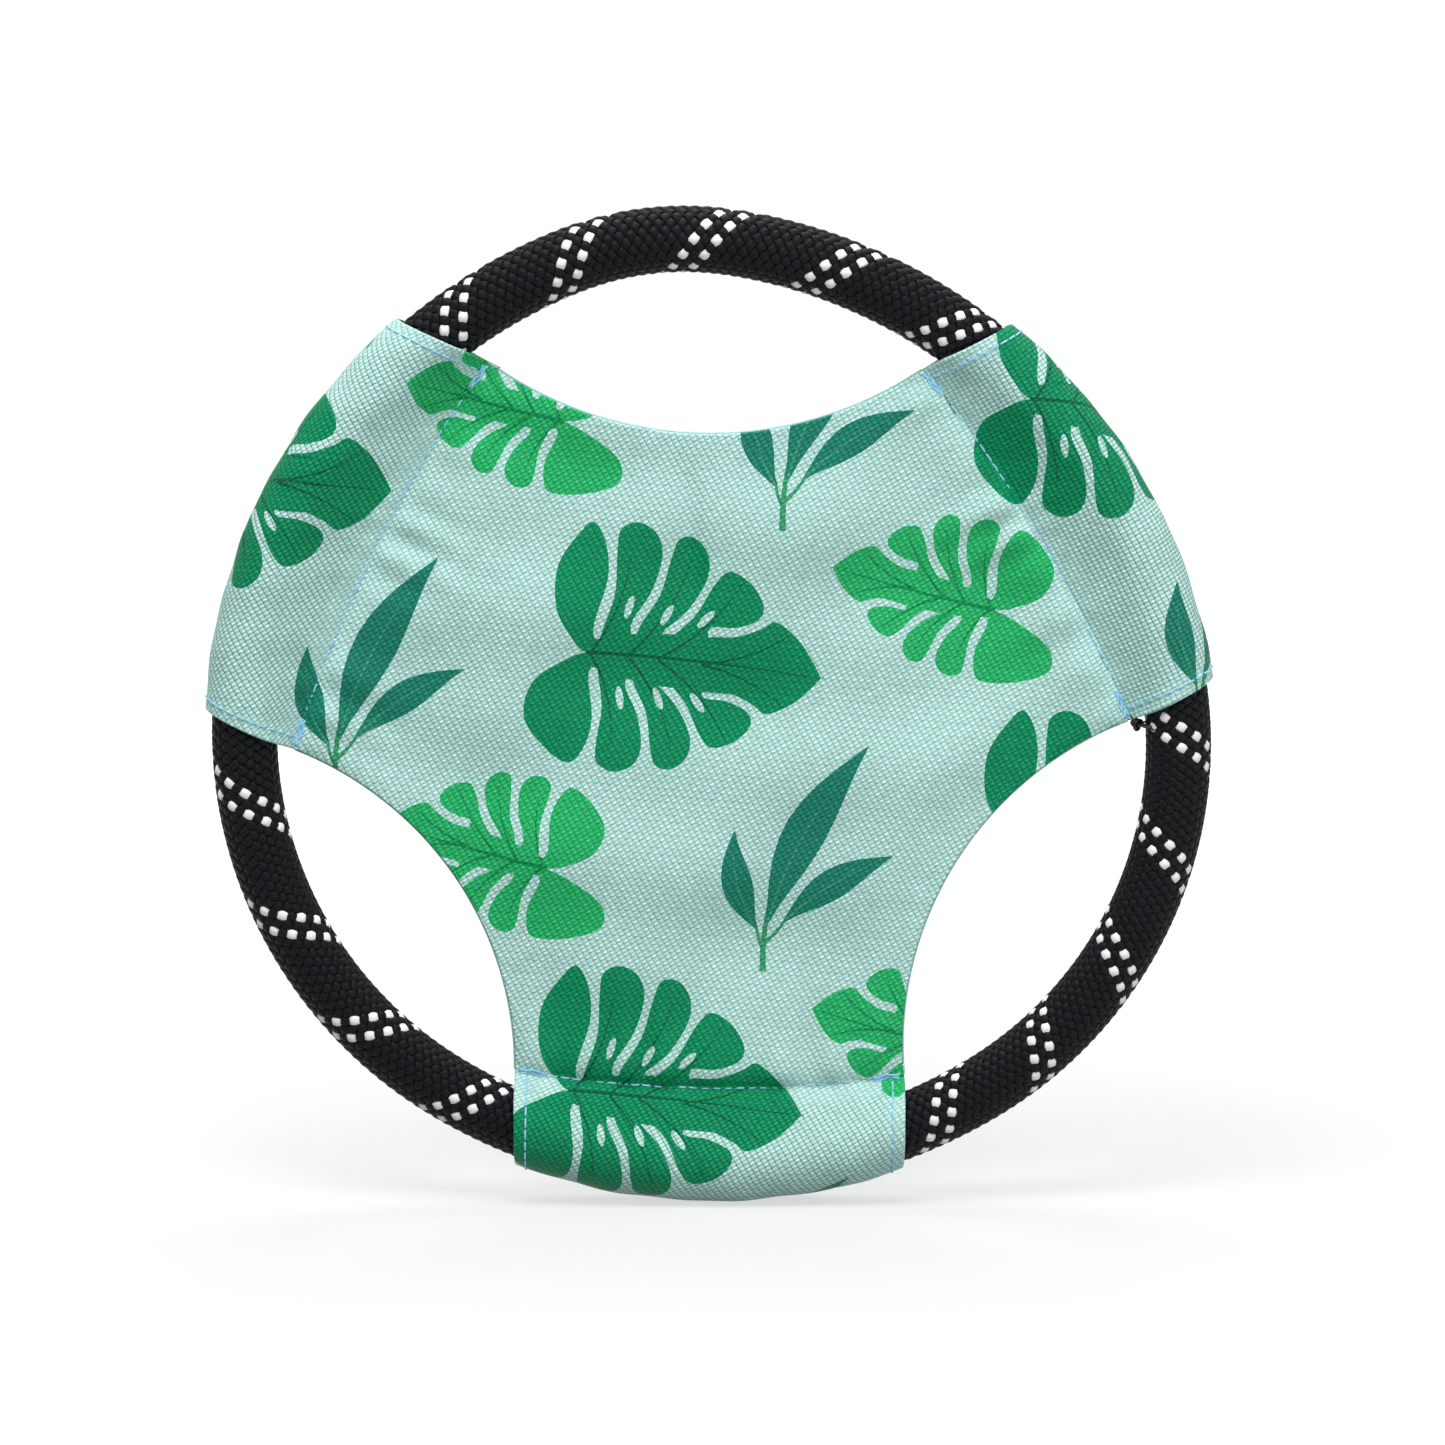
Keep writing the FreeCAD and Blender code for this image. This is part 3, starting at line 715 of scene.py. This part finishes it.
def blade(start, end, width, bend):
    """One narrow leaf and its pale centre vein."""
    line = bent_line(start, end, bend, 11)
    widths = width * np.array([0.08, 0.30, 0.58, 0.82, 0.96, 1.0, 0.92, 0.75, 0.52, 0.27, 0.03])
    vein = line[:9]
    pale = stroke(vein, np.linspace(0.6, 0.15, 9))
    return [(stroke(line, widths), SPRIG, None), (pale, SPRIG_VEIN, SPRIG)]


def sprig():
    """Three narrow leaves on a short stem."""
    shapes = [(stroke(bent_line((0.0, 0.0), (1.6, 16.0), 0.03, 5), np.linspace(1.5, 0.8, 5)), STEM, None),
              (stroke(bent_line((0.3, 4.5), (-1.6, 11.0), 0.05, 4), np.linspace(0.9, 0.6, 4)), STEM, None),
              (stroke(bent_line((0.6, 6.5), (5.5, 12.5), -0.05, 4), np.linspace(0.9, 0.6, 4)), STEM, None)]
    shapes += blade(np.array([1.0, 11.0]), (23.1, 50.6), 9.4, 0.06)
    shapes += blade(np.array([-1.3, 9.5]), (-6.2, 31.7), 6.8, 0.09)
    shapes += blade(np.array([4.6, 11.2]), (28.6, 26.2), 6.8, 0.06)
    return shapes


# a repeat of the print, and where each motif starts in it
REPEAT = (np.array([94.2, -41.4]), np.array([-4.2, -98.1]))
SLITS = ((0.02, 0.02, 0.95), (0.18, 0.28, 0.96), (0.31, 0.51, 0.80), (0.50, 0.77, 0.42))
HOLES = ((0.145, 0.37, 78), (0.31, 0.34, 66), (0.48, 0.34, 50))
MOTIFS = (
    (split_leaf(51.0, 29.5, 11.5, SLITS, 2.0, HOLES, 0.55, DARK_LEAF, DARK_VEIN), (-26.6, 11.9), -6.3),
    (split_leaf(36.0, 19.0, 14.0, SLITS, 1.9, (), 0.62, PALE_LEAF, PALE_VEIN, -1), (61.2, 21.4), 165.0),
    (sprig(), (11.3, -59.3), 0.0),
)

printed = []
for shapes, start, heading in MOTIFS:
    c, s = math.cos(math.radians(heading)), math.sin(math.radians(heading))
    spin = np.array([[c, s], [-s, c]])
    for i in range(-3, 4):
        for j in range(-3, 4):
            move = np.array(start) + i * REPEAT[0] + j * REPEAT[1]
            if np.linalg.norm(move) < 190:
                printed += [(shape @ spin + move, ink, over) for shape, ink, over in shapes]


def cut_cloth(boundary, rows, low, high):
    """Triangles of a cut piece of printed cloth, in the flat, with each one's ink."""
    spots, lines = [], []

    def closed(points):
        base = len(spots)
        spots.extend(points)
        lines.extend((base + n, base + (n + 1) % len(points)) for n in range(len(points)))

    closed(boundary)
    for row in rows:
        lines.extend((len(spots) + n, len(spots) + n + 1) for n in range(len(row) - 1))
        spots.extend(row)
    shown = [row for row in printed if (row[0].max(0) > low).all() and (row[0].min(0) < high).all()]
    for shape, _, _ in shown:
        closed(shape)
    columns = np.arange(low[0], high[0], GRID)
    levels = np.arange(low[1], high[1], GRID * math.sqrt(0.75))
    grid = np.array([(x + (n % 2) * GRID / 2, z) for n, z in enumerate(levels) for x in columns])
    on = which_flap(grid)
    inset = panel_inset(grid)
    for k, flap in enumerate(flaps.values()):
        inset[on == k] = flap.width / 2 - np.abs(grid[on == k] @ flap.across)
    spots.extend(grid[(inset > 0.9) & inside(np.array(boundary), grid)])
    made = delaunay_2d_cdt([Vector(p) for p in spots], lines, [], 0, 0.02, False)
    flat = np.array([v[:] for v in made[0]])
    triangles = np.array([f for f in made[2] if len(f) == 3])
    a, b, c = (flat[triangles[:, n]] for n in range(3))
    area = ((b - a)[:, 0] * (c - a)[:, 1] - (b - a)[:, 1] * (c - a)[:, 0]) / 2
    middles = (a + b + c) / 3
    keep = inside(np.array(boundary), middles) & (np.abs(area) > 1e-9)
    triangles, middles, area = triangles[keep], middles[keep], area[keep]
    triangles[area < 0] = triangles[area < 0][:, ::-1]
    inks = np.tile(np.array(MINT), (len(triangles), 1))
    for shape, ink, over in shown:
        mine = inside(shape, middles)
        if over is not None:
            mine &= (np.abs(inks - np.array(over)) < 1e-9).all(1)
        inks[mine] = MINT if ink is None else ink
    used = np.unique(triangles)
    renumber = np.full(len(flat), -1)
    renumber[used] = np.arange(len(used))
    return flat[used], renumber[triangles], inks, float(np.abs(area).sum())


def single_over_rope(flat, on):
    """1 where one layer of cloth lies over the black rope, 0 at seams, hems and on the panel."""
    share = np.zeros(len(flat))
    for k, flap in enumerate(flaps.values()):
        mine = on == k
        q = flat[mine] @ flap.across
        tau = flat[mine] @ flap.along - flap.seam(np.clip(q, -flap.width / 2, flap.width / 2))
        from_seam = np.minimum(tau, flap.length(q) - TUCK - tau)
        from_mouth = flap.width / 2 - np.abs(q) - ALLOWANCE
        share[mine] = np.clip((from_seam - 3.5) / 3, 0, 1) * np.clip(from_mouth / 0.8, 0, 1)
    return share


def two_faced(name, points, out, triangles, inks, flat, thin, material):
    """A layer of cloth with its real thickness, a face on each side and a rim between."""
    count = len(points)
    shell = np.concatenate([points + out * CLOTH / 2, points - out * CLOTH / 2])
    pairs = np.concatenate([triangles[:, [0, 1]], triangles[:, [1, 2]], triangles[:, [2, 0]]])
    known = {tuple(p) for p in pairs.tolist()}
    rim = [(a, b) for a, b in known if (b, a) not in known]
    owner = {tuple(p): n % len(triangles) for n, p in enumerate(pairs.tolist())}
    faces = triangles.tolist() + (triangles[:, ::-1] + count).tolist()
    faces += [(b, a, a + count, b + count) for a, b in rim]
    made = add_mesh(name, shell, faces, [material])
    mesh = made.data
    face_ink = np.concatenate([inks, inks] + [[inks[owner[p]]] for p in rim])
    totals = np.array([len(f) for f in faces])
    ink = mesh.attributes.new("ink", "FLOAT_COLOR", "CORNER")
    ink.data.foreach_set("color", np.repeat(face_ink, totals, axis=0).astype(np.float32).ravel())
    weave = mesh.attributes.new("cloth_mm", "FLOAT_VECTOR", "POINT")
    both = np.concatenate([flat, flat])
    weave.data.foreach_set("vector", np.pad(both, ((0, 0), (0, 1))).astype(np.float32).ravel())
    over = mesh.attributes.new("over_rope", "FLOAT", "POINT")
    over.data.foreach_set("value", np.concatenate([thin, thin]).astype(np.float32))
    mesh.normals_split_custom_set_from_vertices(np.concatenate([out, -out]).tolist())
    return made


# plain-woven polyester, sublimation printed: a silky, slightly grainy face. Threads lie 0.875 mm
# apart one way and 1.29 mm the other. A painted highlight lightens the base colour on their tops, and
# painted shade darkens the gaps between them: a little on the panel, and much more where the cloth is
# stretched over the rope, where the darkness also stands for the black rope seen through the gaps.
cloth = new_material("printed_plain_weave_polyester")
WARP_HEADING, WARP_PITCH = 29.0, 0.875
WEFT_HEADING, WEFT_PITCH = 119.0, 1.29
flat_place = add(cloth, "ShaderNodeAttribute", {}, attribute_name="cloth_mm").outputs["Vector"]
ink = add(cloth, "ShaderNodeAttribute", {}, attribute_name="ink")
counts, sines = [], []
for heading, pitch in ((WARP_HEADING, WARP_PITCH), (WEFT_HEADING, WEFT_PITCH)):
    square = math.radians(heading + 90)
    ruler = (math.cos(square) * math.pi / pitch, math.sin(square) * math.pi / pitch, 0.0)
    counted = add(cloth, "ShaderNodeVectorMath", {0: flat_place, 1: ruler},
                  operation="DOT_PRODUCT")
    counts.append(counted.outputs["Value"])
    sines.append(add(cloth, "ShaderNodeMath", {0: counted.outputs["Value"]}, operation="SINE"))
crossing = add(cloth, "ShaderNodeMath", {0: sines[0], 1: sines[1]}, operation="MULTIPLY")
crown = add(cloth, "ShaderNodeMath", {0: crossing}, operation="ABSOLUTE")
bulge = add(cloth, "ShaderNodeMath", {0: crown, 1: 0.5}, operation="POWER")
warp_up = add(cloth, "ShaderNodeMath", {0: crossing, 1: 0.30, 2: bulge}, operation="MULTIPLY_ADD")
slubs = add(cloth, "ShaderNodeTexNoise", {"Vector": flat_place, "Scale": 0.45, "Detail": 4.0})
height = add(cloth, "ShaderNodeMath", {0: slubs, 1: 0.25, 2: warp_up}, operation="MULTIPLY_ADD")
weave = add(cloth, "ShaderNodeBump", {"Height": height, "Distance": 0.00030, "Strength": 0.9})
# painted highlight: thread by thread, some lengths of the yarn get a lighter base colour on their tops, as
# though they caught more light than others
grid = add(cloth, "ShaderNodeCombineXYZ", {"X": counts[0], "Y": counts[1]})
along = add(cloth, "ShaderNodeVectorMath", {0: grid, 1: (0.32, 0.11, 0.0)}, operation="MULTIPLY")
painted_highlight_noise = add(cloth, "ShaderNodeTexNoise", {"Vector": along, "Scale": 1.0, "Detail": 2.0})
uneven = add(cloth, "ShaderNodeMapRange", {"Value": painted_highlight_noise, "From Min": 0.38, "From Max": 0.66,
                                          "To Min": 0.0, "To Max": 0.28})
painted_top_highlight = add(cloth, "ShaderNodeMapRange", {"Value": warp_up, "From Min": 0.45, "From Max": 1.15,
                                             "To Min": 0.0, "To Max": uneven})
over_rope = add(cloth, "ShaderNodeAttribute", {}, attribute_name="over_rope")
# painted shade: the weave's gaps are darkened, to 0.74 on the panel and to 0.22 over the rope, where it also
# stands for the black rope seen through them
deepest_gap_shade_and_rope = add(cloth, "ShaderNodeMapRange",
                  {"Value": over_rope.outputs["Fac"], "To Min": 0.74, "To Max": 0.22})
gap_shade_and_rope = add(cloth, "ShaderNodeMapRange", {"Value": bulge, "From Min": 0.0, "From Max": 0.5,
                                            "To Min": deepest_gap_shade_and_rope, "To Max": 1.0})
# broad random patches of the cloth, from 5 % darker to 8 % lighter
blotch = add(cloth, "ShaderNodeTexNoise", {"Vector": flat_place, "Scale": 0.03, "Detail": 2.0})
broad_tone = add(cloth, "ShaderNodeMapRange", {"Value": blotch, "To Min": 0.95, "To Max": 1.08})
shade = add(cloth, "ShaderNodeMath", {0: gap_shade_and_rope, 1: broad_tone}, operation="MULTIPLY")
dyed = add(cloth, "ShaderNodeVectorMath", {0: ink.outputs["Color"], 3: shade}, operation="SCALE")
# painted highlight: the thread tops' lighter share scales the base colour up
bright = add(cloth, "ShaderNodeMath", {0: painted_top_highlight, 1: 1.7, 2: 0.94}, operation="MULTIPLY_ADD")
lit = add(cloth, "ShaderNodeVectorMath", {0: dyed, 3: bright}, operation="SCALE")
skin = add(cloth, "ShaderNodeBsdfPrincipled",
           {"Base Color": lit, "Roughness": 0.36, "Specular IOR Level": 0.14, "Normal": weave})
add(cloth, "ShaderNodeOutputMaterial", {"Surface": skin})

# the cut piece: panel and three flaps. The flaps hug the rope as sleeves, their mouths are hemmed,
# and the curved sides are turned in against the back cloth
sides = side_rows(-ALLOWANCE, True)
boundary = []
for k, row in enumerate(sides):
    boundary += list(row)
    flap = flaps[ARM_ORDER[(k + 1) % 3]]
    for q in np.linspace(-flap.width / 2 - 1, flap.width / 2 + 1, 60):
        boundary.append(flap.across * q + flap.along * (flap.seam(q) + flap.length(q)))
rows = [row for offset in FOLD_ROWS for row in side_rows(offset, True)]
low, high = np.array([-170.0, -185.0]), np.array([170.0, 115.0])
flat, triangles, inks, cut_area = cut_cloth(boundary, rows, low, high)
on = which_flap(flat)
points, out = turned(flat, on, lay_front)
front = two_faced("cloth_front", points, out, triangles, inks, flat, single_over_rope(flat, on), cloth)
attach(front, "root")
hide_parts("front_panel", "sleeve_right", "sleeve_left", "sleeve_bottom")

# --- Back cloth ----------------------------------------------------------------------------------
# The same cloth, cut to the panel's outline with its curved sides turned in. It ends at the channel
# seams, where it covers the ends of the front cloth's flaps.


def lay_back(flat, on):
    return lay_panel(flat, 1)


boundary = []
for k, row in enumerate(side_rows(-ALLOWANCE, False)):
    boundary += list(row)
    flap = flaps[ARM_ORDER[(k + 1) % 3]]
    for q in np.linspace(-flap.width / 2 + 0.5, flap.width / 2 - 0.5, 60):
        boundary.append(flap.across * q + flap.along * (flap.seam(q) + SEAM_INSET))
rows = [row for offset in FOLD_ROWS for row in side_rows(offset, False)]
low, high = np.array([-110.0, -110.0]), np.array([110.0, 90.0])
flat, triangles, inks, cut_area = cut_cloth(boundary, rows, low, high)
on = np.full(len(flat), -1)
points, out = turned(flat, on, lay_back)
back = two_faced("cloth_back", points, -out, triangles[:, ::-1], inks, flat, np.zeros(len(flat)), cloth)
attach(back, "root")
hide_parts("back_panel")

# --- Sewing thread -------------------------------------------------------------------------------
# Light blue polyester thread: lockstitch along each channel seam and round each hem, and dense
# back-tacks at the six corners of the panel, where the seams start and end.

THREAD_RADIUS = 0.21
STITCH = 2.6
STITCH_GAP = 0.25
HEM_INSET = 2.4
TACK_LENGTH = 6.0

# spun polyester thread, two plies: pale blue, dull, with painted shade: the ply noise that dents its bump
# also darkens the colour in those dents
blue_thread = new_material("spun_blue_thread")
place = add(blue_thread, "ShaderNodeTexCoord", {})
plies = add(blue_thread, "ShaderNodeTexNoise", {"Vector": place.outputs["Object"], "Scale": 2500.0})
shade = add(blue_thread, "ShaderNodeMix", {"Factor": plies, 6: linear("#6fbbe0"), 7: linear("#a6dcf4")},
            data_type="RGBA")
lean = add(blue_thread, "ShaderNodeBump", {"Height": plies, "Distance": 0.00008, "Strength": 0.7})
skin = add(blue_thread, "ShaderNodeBsdfPrincipled",
           {"Base Color": shade.outputs[2], "Roughness": 0.55, "Sheen Weight": 0.2, "Normal": lean})
add(blue_thread, "ShaderNodeOutputMaterial", {"Surface": skin})

# the same thread dyed to the cloth: it lies in the groove of the turned sides and hardly shows
mint_thread = new_material("spun_mint_thread")
place = add(mint_thread, "ShaderNodeTexCoord", {})
plies = add(mint_thread, "ShaderNodeTexNoise", {"Vector": place.outputs["Object"], "Scale": 2500.0})
shade = add(mint_thread, "ShaderNodeMix", {"Factor": plies, 6: linear("#7fb3ac"), 7: linear("#a9d6cf")},
            data_type="RGBA")
lean = add(mint_thread, "ShaderNodeBump", {"Height": plies, "Distance": 0.00008, "Strength": 0.7})
skin = add(mint_thread, "ShaderNodeBsdfPrincipled",
           {"Base Color": shade.outputs[2], "Roughness": 0.6, "Specular IOR Level": 0.2, "Normal": lean})
add(mint_thread, "ShaderNodeOutputMaterial", {"Surface": skin})
for edge in ("top", "left", "right"):
    set_material("edge_seam_" + edge, mint_thread)


def thread(path, radius, sides=8):
    """A round thread along points."""
    path = np.asarray(path, float)
    ahead = np.gradient(path, axis=0)
    ahead /= np.linalg.norm(ahead, axis=1, keepdims=True)
    guide = np.where(np.abs(ahead[:, 1:2]) > 0.9, [[1.0, 0, 0]], [[0, 1.0, 0]])
    aside = np.cross(ahead, guide)
    aside /= np.linalg.norm(aside, axis=1, keepdims=True)
    over = np.cross(aside, ahead)
    spin = np.arange(sides) * TURN / sides
    rings = path[:, None] + radius * (aside[:, None] * np.cos(spin)[None, :, None]
                                      + over[:, None] * np.sin(spin)[None, :, None])
    return tube(rings)


def stitches(path, out):
    """Lockstitch along a path on the cloth: each stitch dives into the cloth at both ends."""
    lengths = np.append(0, np.cumsum(np.linalg.norm(np.diff(path, axis=0), axis=1)))
    made = []
    for n in range(int(lengths[-1] / STITCH)):
        at = n * STITCH + STITCH_GAP / 2 + (STITCH - STITCH_GAP) * np.linspace(0, 1, 8)
        spot = np.stack([np.interp(at, lengths, path[:, k]) for k in range(3)], -1)
        lift = np.stack([np.interp(at, lengths, out[:, k]) for k in range(3)], -1)
        share = np.linspace(-1, 1, 8)
        proud = CLOTH / 2 + THREAD_RADIUS * 0.7 - 0.6 * np.abs(share) ** 5
        made.append(thread(spot + lift * proud[:, None], THREAD_RADIUS))
    return made


def on_front(flat):
    flat = np.asarray(flat, float)
    return turned(flat, which_flap(flat), lay_front)


def on_back(flat):
    flat = np.asarray(flat, float)
    spots, out = turned(flat, np.full(len(flat), -1), lay_back)
    return spots, -out


def thread_piece(name, parts, node):
    points, faces, _ = joined(parts)
    made = add_mesh(name, points, faces, [blue_thread])
    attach(made, "root")
    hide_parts(node)
    return made


for name, flap in flaps.items():
    half = flap.width / 2
    # channel seam, on the front and on the back
    q = np.linspace(-half + TACK_LENGTH + 1, half - TACK_LENGTH - 1, 160)
    line = q[:, None] * flap.across + (flap.seam(q) - 0.15)[:, None] * flap.along
    thread_piece("channel_stitches_" + name, stitches(*on_front(line)) + stitches(*on_back(line)),
                 "channel_stitching_" + name)
    for side, sign in (("start", -1), ("end", 1)):
        # topstitching round the mouth, one row of stitches through the hem
        edge = sign * (half - HEM_INSET)
        taus = np.linspace(1.0, float(flap.length(edge)) - TUCK - 1.0, 160)
        line = np.full((160, 1), edge) * flap.across + (flap.seam(edge) + taus)[:, None] * flap.along
        thread_piece("hem_stitches_%s_%s" % (name, side), stitches(*on_front(line)),
                     "hem_stitching_%s_%s" % (name, side))
        # back-tack: the machine runs to and fro over the seam's last few millimetres
        bars = []
        for lay in (on_front, on_back):
            for run in range(5):
                q = sign * (half - 0.8 - np.linspace(0, TACK_LENGTH, 13))
                weave_off = (run - 2) * 0.32 + 0.22 * np.sin(np.linspace(0, 9, 13) + run * 1.9)
                line = q[:, None] * flap.across + (flap.seam(q) - 0.15 + weave_off)[:, None] * flap.along
                spots, lift = lay(line)
                proud = CLOTH / 2 + THREAD_RADIUS * (0.5 + 0.35 * np.sin(np.arange(13) * 1.9 + run))
                bars.append(thread(spots + lift * proud[:, None], THREAD_RADIUS))
        thread_piece("back_tack_%s_%s" % (name, side), bars, "corner_tack_%s_%s" % (name, side))

# --- Rope tack -----------------------------------------------------------------------------------
# A small hard knot of black waxed thread that ties the right sleeve's lower mouth to the rope. Its
# ends run on to the rope and over the sleeve's corner, front and back.

KNOT_THREAD = 0.42
low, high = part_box("rope_tack")
knot_middle = np.array((low + high) / 2) / MM
knot_size = (high.x - low.x) / MM
turn = np.linspace(0, TURN, 72, endpoint=False)
loop = np.stack([np.sin(turn) + 2 * np.sin(2 * turn), -1.1 * np.sin(3 * turn),
                 np.cos(turn) - 2 * np.cos(2 * turn)], -1)
loop *= (knot_size / 2 - KNOT_THREAD) / 3.0
spin = np.arange(10) * TURN / 10
ahead = np.roll(loop, -1, 0) - np.roll(loop, 1, 0)
ahead /= np.linalg.norm(ahead, axis=1, keepdims=True)
aside = np.cross(ahead, loop)
aside /= np.linalg.norm(aside, axis=1, keepdims=True)
over = np.cross(aside, ahead)
rings = (knot_middle + loop)[:, None] + KNOT_THREAD * (aside[:, None] * np.cos(spin)[None, :, None]
                                                       + over[:, None] * np.sin(spin)[None, :, None])


def bent_thread(start, over_point, end):
    """A short end of the waxed thread, bent over a point."""
    t = np.linspace(0, 1, 13)[:, None]
    line = start * (1 - t) ** 2 + over_point * 2 * t * (1 - t) + end * t ** 2
    ahead = np.gradient(line, axis=0)
    ahead /= np.linalg.norm(ahead, axis=1, keepdims=True)
    aside = np.cross(ahead, [0.3, 0.2, 1.0])
    aside /= np.linalg.norm(aside, axis=1, keepdims=True)
    over = np.cross(aside, ahead)
    thin = KNOT_THREAD * 0.62
    return tube(line[:, None] + thin * (aside[:, None] * np.cos(spin)[None, :, None]
                                        + over[:, None] * np.sin(spin)[None, :, None]))


low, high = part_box("corner_tack_right_start")
to_sleeve = np.array((low + high) / 2) / MM * [1, 0, 1] - knot_middle
to_sleeve /= np.linalg.norm(to_sleeve)
knot_way = np.array([math.atan2(knot_middle[2], knot_middle[0])])
rope_middle, rope_out = (row[0] for row in hoop_point(knot_way))
parts = [tube(rings, closed=True)]
for face in (-1, 1):
    for lean, reach in ((0.0, 2.6), (0.9, 1.8)):
        on_rope = rope_middle - rope_out * 5.9 + [0, face * (4.3 + lean), 0] + to_sleeve * lean
        on_sleeve = knot_middle + to_sleeve * reach + rope_out * lean + [0, face * 1.3, 0]
        parts.append(bent_thread(on_rope, knot_middle + [0, face * 0.9, 0], knot_middle))
        lifted = knot_middle + [0, face * 2.2, 0] + to_sleeve * 0.5 * reach
        parts.append(bent_thread(knot_middle, lifted, on_sleeve))
points, faces, _ = joined(parts)
knot = add_mesh("thread_knot", points, faces, [black_thread])
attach(knot, "root")
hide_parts("rope_tack")

# --- Studio --------------------------------------------------------------------------------------
# The ring stands on a flat floor, under a key lamp from the front, a fill from the right and one
# from behind. The floor shows white to the camera and keeps the shadow near the ring, and its own
# glow rises further out, so that its far edge doesn't show.

floor_white = new_material("white_studio_floor")
ray = add(floor_white, "ShaderNodeLightPath", {})
seen = add(floor_white, "ShaderNodeMath", {0: ray.outputs["Is Camera Ray"], 1: ray.outputs["Is Glossy Ray"]},
           operation="MAXIMUM")
seen = add(floor_white, "ShaderNodeMath", {0: seen, 1: ray.outputs["Is Transmission Ray"]},
           operation="MAXIMUM")
place = add(floor_white, "ShaderNodeTexCoord", {})
away = add(floor_white, "ShaderNodeVectorMath", {0: place.outputs["Object"]}, operation="LENGTH")
spread = add(floor_white, "ShaderNodeMapRange",
             {"Value": away.outputs["Value"], "From Min": 0.20, "From Max": 0.75,
              "To Min": 0.62, "To Max": 1.0})
glow = add(floor_white, "ShaderNodeMath", {0: seen, 1: spread}, operation="MULTIPLY")
paint = add(floor_white, "ShaderNodeBsdfDiffuse", {"Color": linear("#8f8f8f")})
lamp = add(floor_white, "ShaderNodeEmission", {"Strength": glow})
both = add(floor_white, "ShaderNodeAddShader", {0: paint, 1: lamp})
add(floor_white, "ShaderNodeOutputMaterial", {"Surface": both})
level = cad_low.z / MM - 0.2
reach = 3000.0
floor = add_mesh("studio_floor", [(-reach, -reach, level), (reach, -reach, level), (reach, reach, level),
                                  (-reach, reach, level)], [(0, 1, 2, 3)], [floor_white])

world = bpy.data.worlds.new("white_studio")
bpy.context.scene.world = world
world.use_nodes = True
world.node_tree.nodes.clear()
ray = add(world, "ShaderNodeLightPath", {})
seen = add(world, "ShaderNodeMath", {0: ray.outputs["Is Camera Ray"], 1: ray.outputs["Is Transmission Ray"]},
           operation="MAXIMUM")
strength = add(world, "ShaderNodeMapRange", {"Value": seen, "To Min": 0.50, "To Max": 1.0})
white = add(world, "ShaderNodeBackground", {"Color": (1, 1, 1, 1), "Strength": strength})
add(world, "ShaderNodeOutputWorld", {"Surface": white})


def soft_box(name, place, target, width, power):
    lamp = bpy.data.lights.new(name, "AREA")
    lamp.shape = "SQUARE"
    lamp.size = width
    lamp.energy = power
    made = bpy.data.objects.new(name, lamp)
    bpy.context.scene.collection.objects.link(made)
    made.location = place
    made.rotation_euler = (Vector(target) - Vector(place)).to_track_quat("-Z", "Y").to_euler()
    return made


middle = (cad_low + cad_high) / 2
soft_box("key_soft_box", (-0.15, -0.40, 0.85), middle, 0.5, 7.9)
soft_box("fill_soft_box", (0.7, -0.8, 0.1), middle, 0.5, 3.9)
soft_box("back_soft_box", (0.05, 0.42, 0.9), middle, 0.6, 5.0)

camera_data = bpy.data.cameras.new("camera")
camera_data.lens = 100
camera_data.sensor_width = 36
camera = bpy.data.objects.new("camera", camera_data)
bpy.context.scene.collection.objects.link(camera)
aim = Vector((0.0024, 0, -0.0036))
tilt = math.radians(6.5)
away = 0.3179 * camera_data.lens / camera_data.sensor_width
camera.location = aim + Vector((0, -math.cos(tilt), math.sin(tilt))) * away
camera.rotation_euler = (aim - camera.location).to_track_quat("-Z", "Y").to_euler()
bpy.context.scene.camera = camera
bpy.context.scene.view_settings.view_transform = "Standard"
